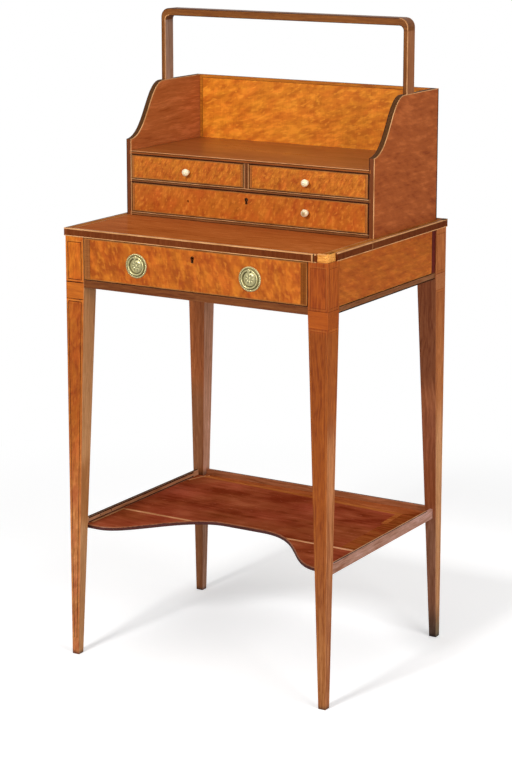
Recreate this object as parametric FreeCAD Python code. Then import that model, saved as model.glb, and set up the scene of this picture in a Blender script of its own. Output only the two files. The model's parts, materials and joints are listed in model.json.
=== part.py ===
"""Bonheur du jour of the cheveret kind: a small writing table on four tapered legs, with one
frieze drawer and an undershelf, that carries a lift-off book stage with three drawers and a
fixed carrying handle.

Frame: the origin is on the floor at the centre of the table's plan, +Z is up, the drawers
face -Y and +X is the sitter's right. All lengths are in millimetres.
"""
import FreeCAD, Part
import math
import os

from FreeCAD import Vector

# ---------------------------------------------------------------- table: driving dimensions
table_height = 721.0            # floor to writing surface
top_width = 488.0
top_depth = 398.0
top_thickness = 13.0
top_overhang = 1.5              # top beyond the outer faces of the legs
edging_thickness = 4.0          # cross-grained edging round the top
lost_edging_front = 22.0        # edging broken away at the front right corner, along the front
lost_edging_side = 28.0         # and along the right side
worn_corner_radius = 7.0        # top board rounded by wear where the edging is gone

leg_size = 35.0                 # square section beside the drawer
foot_size = 13.0                # square section at the floor
frieze_height = 82.0            # underside of the top to the bottom of the frieze

apron_thickness = 16.0
apron_setback = 2.0             # apron behind the outer faces of the legs
tenon_thickness = 6.0
tenon_length = 14.0
tenon_shoulder = 6.0            # height of the shoulder above and below an apron's tenon

rail_height = 12.5              # front rail under the frieze drawer
rail_depth = 45.0
rail_setback = 0.5              # rail and drawer front behind the fronts of the legs
rail_tenon_width = 12.0
rail_tenon_shoulder = 2.0
upper_rail_height = 10.0        # hidden rail above the drawer, behind its front
upper_rail_depth = 25.0
dovetail_length = 12.0
dovetail_neck = 10.0
dovetail_end = 16.0
runner_width = 15.0             # ledge that bears a side of the drawer
runner_thickness = 10.5
guide_height = 10.0             # strip on the ledge that keeps the drawer straight

# ---------------------------------------------------------------- undershelf
shelf_height = 219.0            # floor to the shelf's upper face
shelf_thickness = 7.0
shelf_rail_height = 17.0        # low gallery rail on three sides
shelf_rail_thickness = 5.0
shelf_rail_inset = 6.0          # rail behind the outer faces of the legs
shelf_tenon_length = 7.0
shelf_tenon_thickness = 2.5
shelf_tenon_height = 9.0
lobe_setback = 29.5             # front of the shelf's lobes behind the fronts of the legs
lobe_end = 23.5                 # straight front of a lobe, inwards from the rail
lobe_ease = 58.0                # how gently the lobe turns into the bay
bay_depth = 124.5               # from the lobes to the back of the bay
bay_half_flat = 35.0            # straight back of the bay, each side of the middle
bay_ease = 83.0                 # how gently the bay turns into the lobe
shelf_nosing = 2.2              # rounding of the shaped front edge

# ---------------------------------------------------------------- book stage
stage_side_inset = 11.5         # sides of the stage inside the ends of the table top
stage_depth = 218.0
stage_back_inset = 17.5         # back of the stage in front of the table's back edge
stage_side_thickness = 9.5
stage_height = 215.5            # above the writing surface
stage_front_height = 126.0      # front of the sides, above the writing surface
stage_curve_start_lift = 3.0    # rise of the lower handle of the side's ogee curve
stage_curve_low = 50.0          # length of the ogee's lower handle
stage_curve_high = 42.0         # length of the ogee's upper handle
stage_flat_top = 119.5          # level top of a side, forward from its back
stage_back_thickness = 7.0
stage_shelf_height = 107.5      # writing surface to the upper face of the stage's shelf
stage_shelf_thickness = 6.0
dustboard_height = 61.0         # writing surface to the upper face of the dustboard
dustboard_thickness = 5.5
stage_bottom_thickness = 6.0
divider_thickness = 9.5
housing_depth = 3.0             # boards let into the sides by this much

handle_height = 119.5           # top of the handle above the stage's sides
handle_depth = 25.0
handle_thickness = 8.0          # of an upright
handle_bar_height = 12.0
handle_outer_radius = 15.0
handle_inner_radius = 8.0
handle_setback = 106.5          # front of the handle behind the front of the stage
handle_rounding = 1.2
handle_tenon_thickness = 3.0
handle_tenon_width = 15.0
handle_tenon_length = 11.0

peg_radius = 3.0                # pegs that locate the stage on the table
peg_length = 10.0
peg_reach = 5.0                 # how far a peg enters the table top
peg_clearance = 0.1             # round a peg in its hole
peg_hole_spare = 0.5            # depth left under a peg
peg_inset_x = 32.0              # from the outer face of the stage
peg_inset_y = 20.0

# ---------------------------------------------------------------- drawers
drawer_gap = 0.5                # round a drawer front
drawer_lift = 0.3               # under a drawer's sides
drawer_groove = 2.5             # depth of the groove that holds a bottom
tail_pitch = 16.0               # about how far apart the dovetails stand
tail_slope = 0.18               # widening of a dovetail over its length
tail_margin = 2.0               # from the outer tails to the ends of the joint
back_set_down = 2.0             # upper edge of a drawer back below its sides

frieze_front_thickness = 14.0
frieze_side_thickness = 6.0
frieze_back_thickness = 6.0
frieze_bottom_thickness = 4.0
frieze_bottom_rise = 6.0        # bottom above the lower edges of the sides
frieze_lap = 5.0                # front left in front of the dovetails
frieze_back_gap = 0.5           # drawer to the back apron, which stops it

stage_front_thickness = 9.0
stage_drawer_side = 4.5
stage_drawer_back = 4.5
stage_drawer_bottom = 3.0
stage_bottom_rise = 4.0
stage_lap = 3.5
stage_back_gap = 0.5            # drawer to the stage's back, which stops it

# ---------------------------------------------------------------- knobs, pulls and locks
knob_radius = 6.0
knob_projection = 12.0
knob_neck_radius = 2.6
knob_base_radius = 3.9
knob_base_thickness = 0.9
knob_cove = 0.6                 # length of the taper from base to neck
knob_head_half = 5.1            # half the length of the head, which is slightly flattened
knob_stem_radius = 1.9
knob_offset = 112.0             # knobs left and right of the middle
small_knob_drop = 22.0          # below the upper edge of a small drawer's opening
long_knob_drop = 24.0           # below the upper edge of the long drawer's opening
stem_clearance = 0.05

pull_offset = 105.0             # pulls left and right of the middle
pull_drop = 36.7                # centre of a pull below the underside of the top
plate_radius = 19.6
plate_thickness = 1.3
plate_rim_radius = 1.35         # half the width of the bead at the rim
plate_rim_height = 1.8          # bead above the middle of the plate
plate_dome_radius = 10.6
plate_dome_height = 1.3         # above the plate
bail_radius = 14.0              # centre line of the hanging ring
bail_wire = 1.2                 # radius of the ring's wire
bail_gap = 0.35                 # ring to plate
post_radius = 1.9
post_head_radius = 2.7
post_head_overhang = 1.3        # head beyond the front of the ring's wire
post_head_rounding = 0.9
post_spare = 1.2                # thread beyond the nut
bail_clearance = 0.08           # ring in the eye of its post
bail_straight = 3.4             # half of the ring's straight top, which turns in the post
nut_size = 8.0
nut_thickness = 2.5

lock_width = 38.0
lock_height = 27.0
frieze_lock_depth = 8.0
long_lock_depth = 5.5
bolt_width = 14.0
bolt_height = 13.0
frieze_bolt_thickness = 4.0
long_bolt_thickness = 2.6
bolt_clearance = 0.1
frieze_bolt_throw = 5.0
long_bolt_throw = 4.0
bolt_set_down = 0.5             # bolt below the top of its lock when open
strike_clearance = 0.8          # mortise round a thrown bolt
key_radius = 2.3
key_slot_width = 2.0
key_slot_length = 6.5
frieze_key_drop = 14.8          # keyhole below the underside of the top
long_key_drop = 12.6            # keyhole below the dustboard
escutcheon_wall = 0.9
escutcheon_depth = 1.6

# ---------------------------------------------------------------- derived places
leg_x = top_width / 2 - top_overhang            # outer faces of the legs
leg_y = top_depth / 2 - top_overhang
top_under = table_height - top_thickness
frieze_bottom = top_under - frieze_height
leg_inner_x = leg_x - leg_size
leg_inner_y = leg_y - leg_size
apron_x = leg_x - apron_setback
apron_y = leg_y - apron_setback
rail_top = frieze_bottom + rail_height
rail_front = -leg_y + rail_setback
shelf_under = shelf_height - shelf_thickness
shelf_rail_top = shelf_under + shelf_rail_height
shelf_rail_x = leg_x - shelf_rail_inset
shelf_rail_y = leg_y - shelf_rail_inset
shelf_x = shelf_rail_x - shelf_rail_thickness
shelf_y = shelf_rail_y - shelf_rail_thickness
stage_width = top_width - 2 * stage_side_inset
stage_x = stage_width / 2
stage_inner_x = stage_x - stage_side_thickness
stage_back_y = top_depth / 2 - stage_back_inset
stage_front_y = stage_back_y - stage_depth
stage_inner_y = stage_back_y - stage_back_thickness
stage_top_z = table_height + stage_height
stage_shelf_z = table_height + stage_shelf_height
stage_shelf_under = stage_shelf_z - stage_shelf_thickness
dustboard_z = table_height + dustboard_height
dustboard_under = dustboard_z - dustboard_thickness
stage_bottom_z = table_height + stage_bottom_thickness
handle_top_z = stage_top_z + handle_height
handle_front_y = stage_front_y + handle_setback
handle_back_y = handle_front_y + handle_depth
handle_joint_z = handle_top_z - max(handle_outer_radius, handle_bar_height + handle_inner_radius)
peg_x = stage_x - peg_inset_x
stage_mid_y = stage_front_y + stage_depth / 2
peg_half_y = stage_depth / 2 - peg_inset_y

REACH = 10.0                    # how far a cutting tool runs past what it cuts
NEAR = 1e-3                     # lengths closer than this count as equal
TURNING_STEPS = 14              # straight steps in a quarter or so of a turned profile


def box(x0, x1, y0, y1, z0, z1):
    """Block between two opposite corners."""
    return Part.makeBox(x1 - x0, y1 - y0, z1 - z0, Vector(x0, y0, z0))


def prism(points, direction):
    """Flat polygon carried along a vector."""
    return Part.Face(Part.makePolygon(points + [points[0]])).extrude(direction)


def face_from(edges):
    """Flat face inside edges that follow one another."""
    return Part.Face(Part.Wire(edges))


def line(a, b):
    """Straight edge."""
    return Part.makeLine(a, b)


def bezier(*poles):
    """Smooth edge with the given control points."""
    curve = Part.BezierCurve()
    curve.setPoles(list(poles))
    return curve.toShape()


def arc(start, middle, end):
    """Round edge through three points."""
    return Part.Arc(start, middle, end).toShape()


def mirror_x(shape):
    """The same shape on the other side of the middle plane."""
    return shape.mirror(Vector(0, 0, 0), Vector(1, 0, 0))


def mirror_y(shape):
    """The same shape, front for back."""
    return shape.mirror(Vector(0, 0, 0), Vector(0, 1, 0))


def round_edges(shape, radius, wanted):
    """Round the edges that the test picks."""
    return shape.makeFillet(radius, [edge for edge in shape.Edges if wanted(edge)])


def is_vertical(edge):
    """True for an edge that runs along Z."""
    size = edge.BoundBox
    return size.XLength < NEAR and size.YLength < NEAR


# ---------------------------------------------------------------- legs, aprons and rails
def leg_blank():
    """Back right leg before its joints are cut: square beside the drawer, then tapered on the
    two inner faces down to the foot."""
    block = box(leg_inner_x, leg_x, leg_inner_y, leg_y, frieze_bottom, top_under)
    high = [Vector(leg_inner_x, leg_inner_y, frieze_bottom), Vector(leg_x, leg_inner_y, frieze_bottom),
            Vector(leg_x, leg_y, frieze_bottom), Vector(leg_inner_x, leg_y, frieze_bottom)]
    foot_x = leg_x - foot_size
    foot_y = leg_y - foot_size
    low = [Vector(foot_x, foot_y, 0), Vector(leg_x, foot_y, 0),
           Vector(leg_x, leg_y, 0), Vector(foot_x, leg_y, 0)]
    return block.fuse(frustum(low, high)).removeSplitter()


def frustum(low, high):
    """Solid with flat sides between two outlines that have as many corners."""
    faces = [Part.Face(Part.makePolygon(low + low[:1])), Part.Face(Part.makePolygon(high + high[:1]))]
    for index in range(len(low)):
        after = (index + 1) % len(low)
        side = [low[index], low[after], high[after], high[index], low[index]]
        faces.append(Part.Face(Part.makePolygon(side)))
    return Part.makeSolid(Part.makeShell(faces))


def side_apron_tenon():
    """Tenon of a side apron in the back right leg."""
    middle = apron_x - apron_thickness / 2
    return box(middle - tenon_thickness / 2, middle + tenon_thickness / 2,
               leg_inner_y, leg_inner_y + tenon_length,
               frieze_bottom + tenon_shoulder, top_under - tenon_shoulder)


def back_apron_tenon():
    """Tenon of the back apron in the back right leg."""
    middle = apron_y - apron_thickness / 2
    return box(leg_inner_x, leg_inner_x + tenon_length,
               middle - tenon_thickness / 2, middle + tenon_thickness / 2,
               frieze_bottom + tenon_shoulder, top_under - tenon_shoulder)


def lower_rail_tenon():
    """Tenon of the lower front rail in the front right leg."""
    middle = -leg_y + leg_size / 2
    return box(leg_inner_x, leg_inner_x + tenon_length,
               middle - rail_tenon_width / 2, middle + rail_tenon_width / 2,
               frieze_bottom + rail_tenon_shoulder, rail_top - rail_tenon_shoulder)


def upper_rail_tail():
    """Dovetail of the upper front rail, dropped into the top of the front right leg."""
    middle = -leg_y + leg_size - dovetail_end / 2 - rail_tenon_shoulder
    end_x = leg_inner_x + dovetail_length
    low = top_under - upper_rail_height
    outline = [Vector(leg_inner_x, middle - dovetail_neck / 2, low),
               Vector(end_x, middle - dovetail_end / 2, low),
               Vector(end_x, middle + dovetail_end / 2, low),
               Vector(leg_inner_x, middle + dovetail_neck / 2, low)]
    return prism(outline, Vector(0, 0, upper_rail_height))


def shelf_rail_tenon_side():
    """Stub tenon of a side rail of the undershelf in the back right leg."""
    middle = shelf_rail_x - shelf_rail_thickness / 2
    start = leg_face_at(shelf_under, leg_y)
    centre = shelf_under + shelf_rail_height / 2
    return box(middle - shelf_tenon_thickness / 2, middle + shelf_tenon_thickness / 2,
               start - REACH, start + shelf_tenon_length,
               centre - shelf_tenon_height / 2, centre + shelf_tenon_height / 2)


def shelf_rail_tenon_back():
    """Stub tenon of the back rail of the undershelf in the back right leg."""
    middle = shelf_rail_y - shelf_rail_thickness / 2
    start = leg_face_at(shelf_under, leg_x)
    centre = shelf_under + shelf_rail_height / 2
    return box(start - REACH, start + shelf_tenon_length,
               middle - shelf_tenon_thickness / 2, middle + shelf_tenon_thickness / 2,
               centre - shelf_tenon_height / 2, centre + shelf_tenon_height / 2)


def leg_face_at(height, outer):
    """Where the tapered inner face of a leg stands at a height."""
    return outer - foot_size - (leg_size - foot_size) * height / frieze_bottom


def make_legs(parts):
    """Four legs, each with the mortises that it needs."""
    blank = leg_blank()
    back = blank.cut(side_apron_tenon()).cut(back_apron_tenon())
    back = back.cut(shelf_rail_tenon_side()).cut(shelf_rail_tenon_back())
    front = mirror_y(blank.cut(side_apron_tenon()).cut(shelf_rail_tenon_side()))
    front = front.cut(lower_rail_tenon()).cut(upper_rail_tail())
    parts["leg_back_right"] = back
    parts["leg_back_left"] = mirror_x(back)
    parts["leg_front_right"] = front
    parts["leg_front_left"] = mirror_x(front)


def make_aprons(parts):
    """Side and back aprons with their tenons."""
    tenon = side_apron_tenon()
    side = box(apron_x - apron_thickness, apron_x, -leg_inner_y, leg_inner_y, frieze_bottom, top_under)
    side = side.fuse([tenon, mirror_y(tenon)]).removeSplitter()
    parts["apron_right"] = side
    parts["apron_left"] = mirror_x(side)
    tenon = back_apron_tenon()
    back = box(-leg_inner_x, leg_inner_x, apron_y - apron_thickness, apron_y, frieze_bottom, top_under)
    parts["apron_back"] = back.fuse([tenon, mirror_x(tenon)]).removeSplitter()


def make_front_rails(parts):
    """Rail under the frieze drawer, and the hidden one above it."""
    tenon = lower_rail_tenon()
    lower = box(-leg_inner_x, leg_inner_x, rail_front, rail_front + rail_depth, frieze_bottom, rail_top)
    parts["front_rail_lower"] = lower.fuse([tenon, mirror_x(tenon)]).removeSplitter()
    tail = upper_rail_tail()
    start = rail_front + frieze_front_thickness + drawer_gap
    upper = box(-leg_inner_x, leg_inner_x, start, start + upper_rail_depth,
                top_under - upper_rail_height, top_under)
    parts["front_rail_upper"] = upper.fuse([tail, mirror_x(tail)]).removeSplitter()


def make_runners(parts):
    """Ledges that carry the frieze drawer, each with a strip that guides its side."""
    start = rail_front + rail_depth
    wall = apron_x - apron_thickness
    ledge = box(leg_inner_x - runner_width, wall, start, leg_inner_y, rail_top - runner_thickness, rail_top)
    guide = box(leg_inner_x, wall, start, leg_inner_y, rail_top, rail_top + guide_height)
    runner = ledge.fuse(guide).removeSplitter()
    parts["drawer_runners"] = Part.makeCompound([runner, mirror_x(runner)])


# ---------------------------------------------------------------- table top
def make_top(parts):
    """Top board with the peg holes and the strike of the frieze lock, in its edging."""
    half_x = top_width / 2 - edging_thickness
    half_y = top_depth / 2 - edging_thickness
    board = box(-half_x, half_x, -half_y, half_y, top_under, table_height)
    corner = (half_x, -half_y)
    board = round_edges(board, worn_corner_radius, lambda edge: is_vertical(edge) and at_plan(edge, corner))
    for x in (-peg_x, peg_x):
        for y in (stage_mid_y - peg_half_y, stage_mid_y + peg_half_y):
            depth = peg_reach + peg_hole_spare
            board = board.cut(Part.makeCylinder(peg_radius + peg_clearance, depth + REACH,
                                                Vector(x, y, table_height - depth)))
    board = board.cut(strike(rail_front + frieze_front_thickness, frieze_lock_depth, frieze_bolt_thickness,
                             top_under - drawer_gap, frieze_bolt_throw))
    parts["table_top"] = board

    outer_x = top_width / 2
    outer_y = top_depth / 2
    parts["edging_front"] = box(-outer_x, outer_x - lost_edging_front, -outer_y, -half_y,
                                top_under, table_height)
    parts["edging_back"] = box(-outer_x, outer_x, half_y, outer_y, top_under, table_height)
    parts["edging_left"] = box(-outer_x, -half_x, -half_y, half_y, top_under, table_height)
    parts["edging_right"] = box(half_x, outer_x, -outer_y + lost_edging_side, half_y,
                                top_under, table_height)


def at_plan(edge, place):
    """True for an edge that stands over a place in plan."""
    middle = edge.BoundBox.Center
    return abs(middle.x - place[0]) < NEAR and abs(middle.y - place[1]) < NEAR


def strike(front_back_y, lock_depth, bolt_thickness, lock_top, throw):
    """Mortise that takes a thrown bolt, cut upwards from the top of the lock."""
    middle = front_back_y - lock_depth / 2
    return box(-bolt_width / 2 - strike_clearance, bolt_width / 2 + strike_clearance,
               middle - bolt_thickness / 2 - strike_clearance, middle + bolt_thickness / 2 + strike_clearance,
               lock_top, lock_top + throw)


# ---------------------------------------------------------------- undershelf
def make_undershelf(parts):
    """Board with a shaped front between three low rails, cut round the back legs."""
    lobe_y = -leg_y + lobe_setback
    bay_y = lobe_y + bay_depth
    lobe_x = shelf_x - lobe_end

    def point(x, y):
        return Vector(x, y, shelf_under)

    outline = [
        line(point(-shelf_x, shelf_y), point(-shelf_x, lobe_y)),
        line(point(-shelf_x, lobe_y), point(-lobe_x, lobe_y)),
        bezier(point(-lobe_x, lobe_y), point(-lobe_x + lobe_ease, lobe_y),
               point(-bay_half_flat - bay_ease, bay_y), point(-bay_half_flat, bay_y)),
        line(point(-bay_half_flat, bay_y), point(bay_half_flat, bay_y)),
        bezier(point(bay_half_flat, bay_y), point(bay_half_flat + bay_ease, bay_y),
               point(lobe_x - lobe_ease, lobe_y), point(lobe_x, lobe_y)),
        line(point(lobe_x, lobe_y), point(shelf_x, lobe_y)),
        line(point(shelf_x, lobe_y), point(shelf_x, shelf_y)),
        line(point(shelf_x, shelf_y), point(-shelf_x, shelf_y)),
    ]
    board = face_from(outline).extrude(Vector(0, 0, shelf_thickness))

    def on_front(edge):
        size = edge.BoundBox
        flat = size.ZLength < NEAR
        return flat and size.YMax < bay_y + NEAR and size.XLength > NEAR

    board = round_edges(board, shelf_nosing, on_front)
    leg = leg_blank()
    board = board.cut(leg).cut(mirror_x(leg)).cut(mirror_y(leg)).cut(mirror_y(mirror_x(leg)))
    parts["undershelf"] = board

    side = box(shelf_rail_x - shelf_rail_thickness, shelf_rail_x, -leg_y, leg_y, shelf_under, shelf_rail_top)
    side = side.cut(leg).cut(mirror_y(leg))
    side = largest(side)
    tenon = shelf_rail_tenon_side()
    side = side.fuse([tenon.common(leg), mirror_y(tenon.common(leg))]).removeSplitter()
    parts["shelf_rail_right"] = side
    parts["shelf_rail_left"] = mirror_x(side)
    back = box(-leg_x, leg_x, shelf_rail_y - shelf_rail_thickness, shelf_rail_y, shelf_under, shelf_rail_top)
    back = largest(back.cut(leg).cut(mirror_x(leg)))
    tenon = shelf_rail_tenon_back()
    back = back.fuse([tenon.common(leg), mirror_x(tenon.common(leg))]).removeSplitter()
    parts["shelf_rail_back"] = back


def largest(shape):
    """The biggest of the solids that a cut leaves."""
    return max(shape.Solids, key=lambda solid: solid.Volume)


# ---------------------------------------------------------------- book stage
def stage_side():
    """Right side of the stage: its front rises in an ogee to a level top."""
    front_top = table_height + stage_front_height
    flat_y = stage_back_y - stage_flat_top

    def point(y, z):
        return Vector(stage_inner_x, y, z)

    outline = [
        line(point(stage_back_y, table_height), point(stage_front_y, table_height)),
        line(point(stage_front_y, table_height), point(stage_front_y, front_top)),
        bezier(point(stage_front_y, front_top),
               point(stage_front_y + stage_curve_low, front_top + stage_curve_start_lift),
               point(flat_y - stage_curve_high, stage_top_z), point(flat_y, stage_top_z)),
        line(point(flat_y, stage_top_z), point(stage_back_y, stage_top_z)),
        line(point(stage_back_y, stage_top_z), point(stage_back_y, table_height)),
    ]
    return face_from(outline).extrude(Vector(stage_side_thickness, 0, 0))


def stage_board(low, high):
    """Board across the stage, let into both sides and butted to the back."""
    reach = stage_inner_x + housing_depth
    return box(-reach, reach, stage_front_y, stage_inner_y, low, high)


def handle_tenon(low):
    """Tenon at one end of the right upright of the handle."""
    middle_x = stage_x - handle_thickness / 2
    middle_y = handle_front_y + handle_depth / 2
    return box(middle_x - handle_tenon_thickness / 2, middle_x + handle_tenon_thickness / 2,
               middle_y - handle_tenon_width / 2, middle_y + handle_tenon_width / 2,
               low, low + handle_tenon_length)


def make_stage(parts):
    """Sides, back, three boards, divider and pegs of the stage."""
    boards = {
        "stage_shelf": stage_board(stage_shelf_under, stage_shelf_z),
        "stage_dustboard": stage_board(dustboard_under, dustboard_z),
        "stage_bottom": stage_board(table_height, stage_bottom_z),
    }
    side = stage_side().cut(handle_tenon(stage_top_z - handle_tenon_length))
    for board in boards.values():
        side = side.cut(board)
    parts["stage_side_right"] = side
    parts["stage_side_left"] = mirror_x(side)
    parts["stage_back"] = box(-stage_inner_x, stage_inner_x, stage_inner_y, stage_back_y,
                              table_height, stage_top_z)

    divider = box(-divider_thickness / 2, divider_thickness / 2, stage_front_y, stage_inner_y,
                  dustboard_z, stage_shelf_under)
    parts["stage_divider"] = divider

    mortise = strike(stage_front_y + stage_front_thickness, long_lock_depth, long_bolt_thickness,
                     dustboard_under, long_bolt_throw)
    boards["stage_dustboard"] = boards["stage_dustboard"].cut(mortise)
    pegs = []
    for x in (-peg_x, peg_x):
        for y in (stage_mid_y - peg_half_y, stage_mid_y + peg_half_y):
            peg = Part.makeCylinder(peg_radius, peg_length, Vector(x, y, table_height - peg_reach))
            boards["stage_bottom"] = boards["stage_bottom"].cut(peg)
            pegs.append(peg)
    parts["locating_pegs"] = Part.makeCompound(pegs)
    parts.update(boards)


def make_handle(parts):
    """Two uprights and the bar that joins them with rounded corners."""
    inner_x = stage_x - handle_thickness
    upright = box(inner_x, stage_x, handle_front_y, handle_back_y, stage_top_z, handle_joint_z)
    upright = round_edges(upright, handle_rounding, is_vertical)
    foot = handle_tenon(stage_top_z - handle_tenon_length)
    head = handle_tenon(handle_joint_z)
    upright = upright.fuse([foot, head]).removeSplitter()
    parts["handle_upright_right"] = upright
    parts["handle_upright_left"] = mirror_x(upright)

    under = handle_top_z - handle_bar_height
    outer_x = stage_x - handle_outer_radius
    outer_z = handle_top_z - handle_outer_radius
    turn_x = inner_x - handle_inner_radius
    turn_z = under - handle_inner_radius
    diagonal = math.sqrt(0.5)

    def point(x, z):
        return Vector(x, handle_front_y, z)

    outline = [
        arc(point(-stage_x, outer_z),
            point(-outer_x - handle_outer_radius * diagonal, outer_z + handle_outer_radius * diagonal),
            point(-outer_x, handle_top_z)),
        line(point(-outer_x, handle_top_z), point(outer_x, handle_top_z)),
        arc(point(outer_x, handle_top_z),
            point(outer_x + handle_outer_radius * diagonal, outer_z + handle_outer_radius * diagonal),
            point(stage_x, outer_z)),
    ]
    outline += drop(point(stage_x, outer_z), point(stage_x, handle_joint_z))
    outline += [line(point(stage_x, handle_joint_z), point(inner_x, handle_joint_z))]
    outline += drop(point(inner_x, handle_joint_z), point(inner_x, turn_z))
    outline += [
        arc(point(inner_x, turn_z),
            point(turn_x + handle_inner_radius * diagonal, turn_z + handle_inner_radius * diagonal),
            point(turn_x, under)),
        line(point(turn_x, under), point(-turn_x, under)),
        arc(point(-turn_x, under),
            point(-turn_x - handle_inner_radius * diagonal, turn_z + handle_inner_radius * diagonal),
            point(-inner_x, turn_z)),
    ]
    outline += drop(point(-inner_x, turn_z), point(-inner_x, handle_joint_z))
    outline += [line(point(-inner_x, handle_joint_z), point(-stage_x, handle_joint_z))]
    outline += drop(point(-stage_x, handle_joint_z), point(-stage_x, outer_z))
    bar = face_from(outline).extrude(Vector(0, handle_depth, 0))

    def along_bar(edge):
        size = edge.BoundBox
        on_joint = size.ZLength < NEAR and abs(size.ZMin - handle_joint_z) < NEAR
        return size.YLength < NEAR and not on_joint

    bar = round_edges(bar, handle_rounding, along_bar)
    parts["handle_bar"] = bar.cut(head).cut(mirror_x(head))


def drop(start, end):
    """Straight edge between two points, or none where they coincide."""
    return [] if start.distanceToPoint(end) < NEAR else [line(start, end)]


# ---------------------------------------------------------------- drawers
def tails(low, high, shoulder, end, x0, x1):
    """Dovetails in a row up a joint, from the shoulder to their wider ends."""
    count = max(1, round((high - low) / tail_pitch))
    pitch = (high - low) / count
    length = abs(end - shoulder)
    wide = pitch / 2 - tail_margin / 2
    narrow = wide - tail_slope * length
    shapes = []
    for index in range(count):
        middle = low + pitch * (index + 0.5)
        outline = [Vector(x0, shoulder, middle - narrow), Vector(x0, shoulder, middle + narrow),
                   Vector(x0, end, middle + wide), Vector(x0, end, middle - wide)]
        shapes.append(prism(outline, Vector(x1 - x0, 0, 0)))
    return shapes


def make_drawer(parts, name, opening, sizes):
    """Dovetailed drawer in an opening given as (x0, x1, front, stop, z0, z1), with the front
    tall enough to fill it. The sizes are front, side, back and bottom thickness, the rise of
    the bottom, the lap in front of the tails and the upper limit of the sides."""
    x0, x1, front_y, back_y, z0, z1 = opening
    front_thick, side_thick, back_thick, bottom_thick, rise, lap, side_top = sizes
    x0 += drawer_gap
    x1 -= drawer_gap
    low = z0 + drawer_lift
    shoulder = front_y + front_thick
    bottom_low = low + rise
    bottom_high = bottom_low + bottom_thick
    back_shoulder = back_y - back_thick
    back_top = side_top - back_set_down
    tails_low = bottom_high + tail_margin

    front = box(x0, x1, front_y, shoulder, z0 + drawer_gap, z1 - drawer_gap)
    groove = box(x0 + side_thick - drawer_groove, x1 - side_thick + drawer_groove,
                 shoulder - drawer_groove, back_y, bottom_low, bottom_high)
    front = front.cut(groove)
    sides = []
    back = box(x0, x1, back_shoulder, back_y, bottom_high, back_top)
    for inner, outer in ((x0, x0 + side_thick), (x1 - side_thick, x1)):
        side = box(inner, outer, shoulder, back_shoulder, low, side_top)
        ends = tails(tails_low, side_top - tail_margin, shoulder, front_y + lap, inner, outer)
        ends += tails(tails_low, back_top - tail_margin, back_shoulder, back_y, inner, outer)
        side = side.fuse(ends).removeSplitter()
        front = front.cut(side)
        back = back.cut(side)
        sides.append(side.cut(groove))
    parts[name + "_front"] = front
    parts[name + "_sides"] = Part.makeCompound(sides)
    parts[name + "_back"] = back
    parts[name + "_bottom"] = groove


def lock_body(shoulder, depth, top):
    """Block of a drawer lock, let into the back of a drawer front and level with its top."""
    return box(-lock_width / 2, lock_width / 2, shoulder - depth, shoulder, top - lock_height, top)


def lock_bolt(shoulder, depth, thickness, top, spare):
    """Bolt of a drawer lock, or with spare its pocket."""
    middle = shoulder - depth / 2
    high = top - bolt_set_down if spare == 0 else top + REACH
    return box(-bolt_width / 2 - spare, bolt_width / 2 + spare,
               middle - thickness / 2 - spare, middle + thickness / 2 + spare,
               top - bolt_set_down - bolt_height, high)


def keyhole(front_y, centre_z, wall, depth):
    """Keyhole of a round and a slot below it, grown by a wall all round."""
    start = Vector(0, front_y - REACH, centre_z)
    bow = Part.makeCylinder(key_radius + wall, depth + REACH, start, Vector(0, 1, 0))
    half = key_slot_width / 2 + wall
    slot = box(-half, half, front_y - REACH, front_y + depth, centre_z - key_slot_length - wall, centre_z)
    return bow.fuse(slot).removeSplitter()


def fit_lock(parts, name, front_y, thickness, lock_depth, bolt_thickness, top, key_z):
    """Lock, bolt and keyhole lining of a drawer, cut into its front."""
    shoulder = front_y + thickness
    body = lock_body(shoulder, lock_depth, top)
    front = parts[name + "_front"].cut(body)
    front = front.cut(keyhole(front_y, key_z, 0, thickness))
    front = front.cut(keyhole(front_y, key_z, escutcheon_wall, escutcheon_depth))
    parts[name + "_front"] = front
    parts[name + "_lock"] = body.cut(lock_bolt(shoulder, lock_depth, bolt_thickness, top, bolt_clearance))
    parts[name + "_bolt"] = lock_bolt(shoulder, lock_depth, bolt_thickness, top, 0)
    lining = keyhole(front_y, key_z, escutcheon_wall, escutcheon_depth)
    lining = lining.cut(keyhole(front_y, key_z, 0, escutcheon_depth))
    flush = box(-lock_width, lock_width, front_y, shoulder, key_z - lock_height, key_z + lock_height)
    parts[name + "_escutcheon"] = lining.common(flush)


def turned(points, centre):
    """Solid of revolution about an axis along -Y: points are (distance forward, radius)."""
    outline = [Vector(centre.x + radius, centre.y - forward, centre.z) for forward, radius in points]
    face = Part.Face(Part.makePolygon(outline + [outline[0]]))
    return face.revolve(centre, Vector(0, 1, 0), 360)


def knob(centre, stem):
    """Turned knob with a base, a neck, a round head and a stem through the drawer front."""
    head_middle = knob_projection - knob_head_half
    outline = [(-stem, 0), (-stem, knob_stem_radius), (0, knob_stem_radius), (0, knob_base_radius),
               (knob_base_thickness, knob_base_radius), (knob_base_thickness + knob_cove, knob_neck_radius)]
    start = -math.acos(knob_neck_radius / knob_radius)
    for index in range(TURNING_STEPS + 1):
        angle = start + (math.pi / 2 - start) * index / TURNING_STEPS
        outline.append((head_middle + knob_head_half * math.sin(angle), knob_radius * math.cos(angle)))
    return turned(outline, centre)


def fit_knob(parts, node, front_node, x, z):
    """Knob at a place on a stage drawer, with its hole in the front."""
    centre = Vector(x, stage_front_y, z)
    parts[node] = knob(centre, stage_front_thickness)
    parts[front_node] = parts[front_node].cut(stem_hole(x, z))


def stem_hole(x, z):
    """Hole for the stem of a knob."""
    return Part.makeCylinder(knob_stem_radius + stem_clearance, stage_front_thickness + 2 * REACH,
                             Vector(x, stage_front_y - REACH, z), Vector(0, 1, 0))


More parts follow.
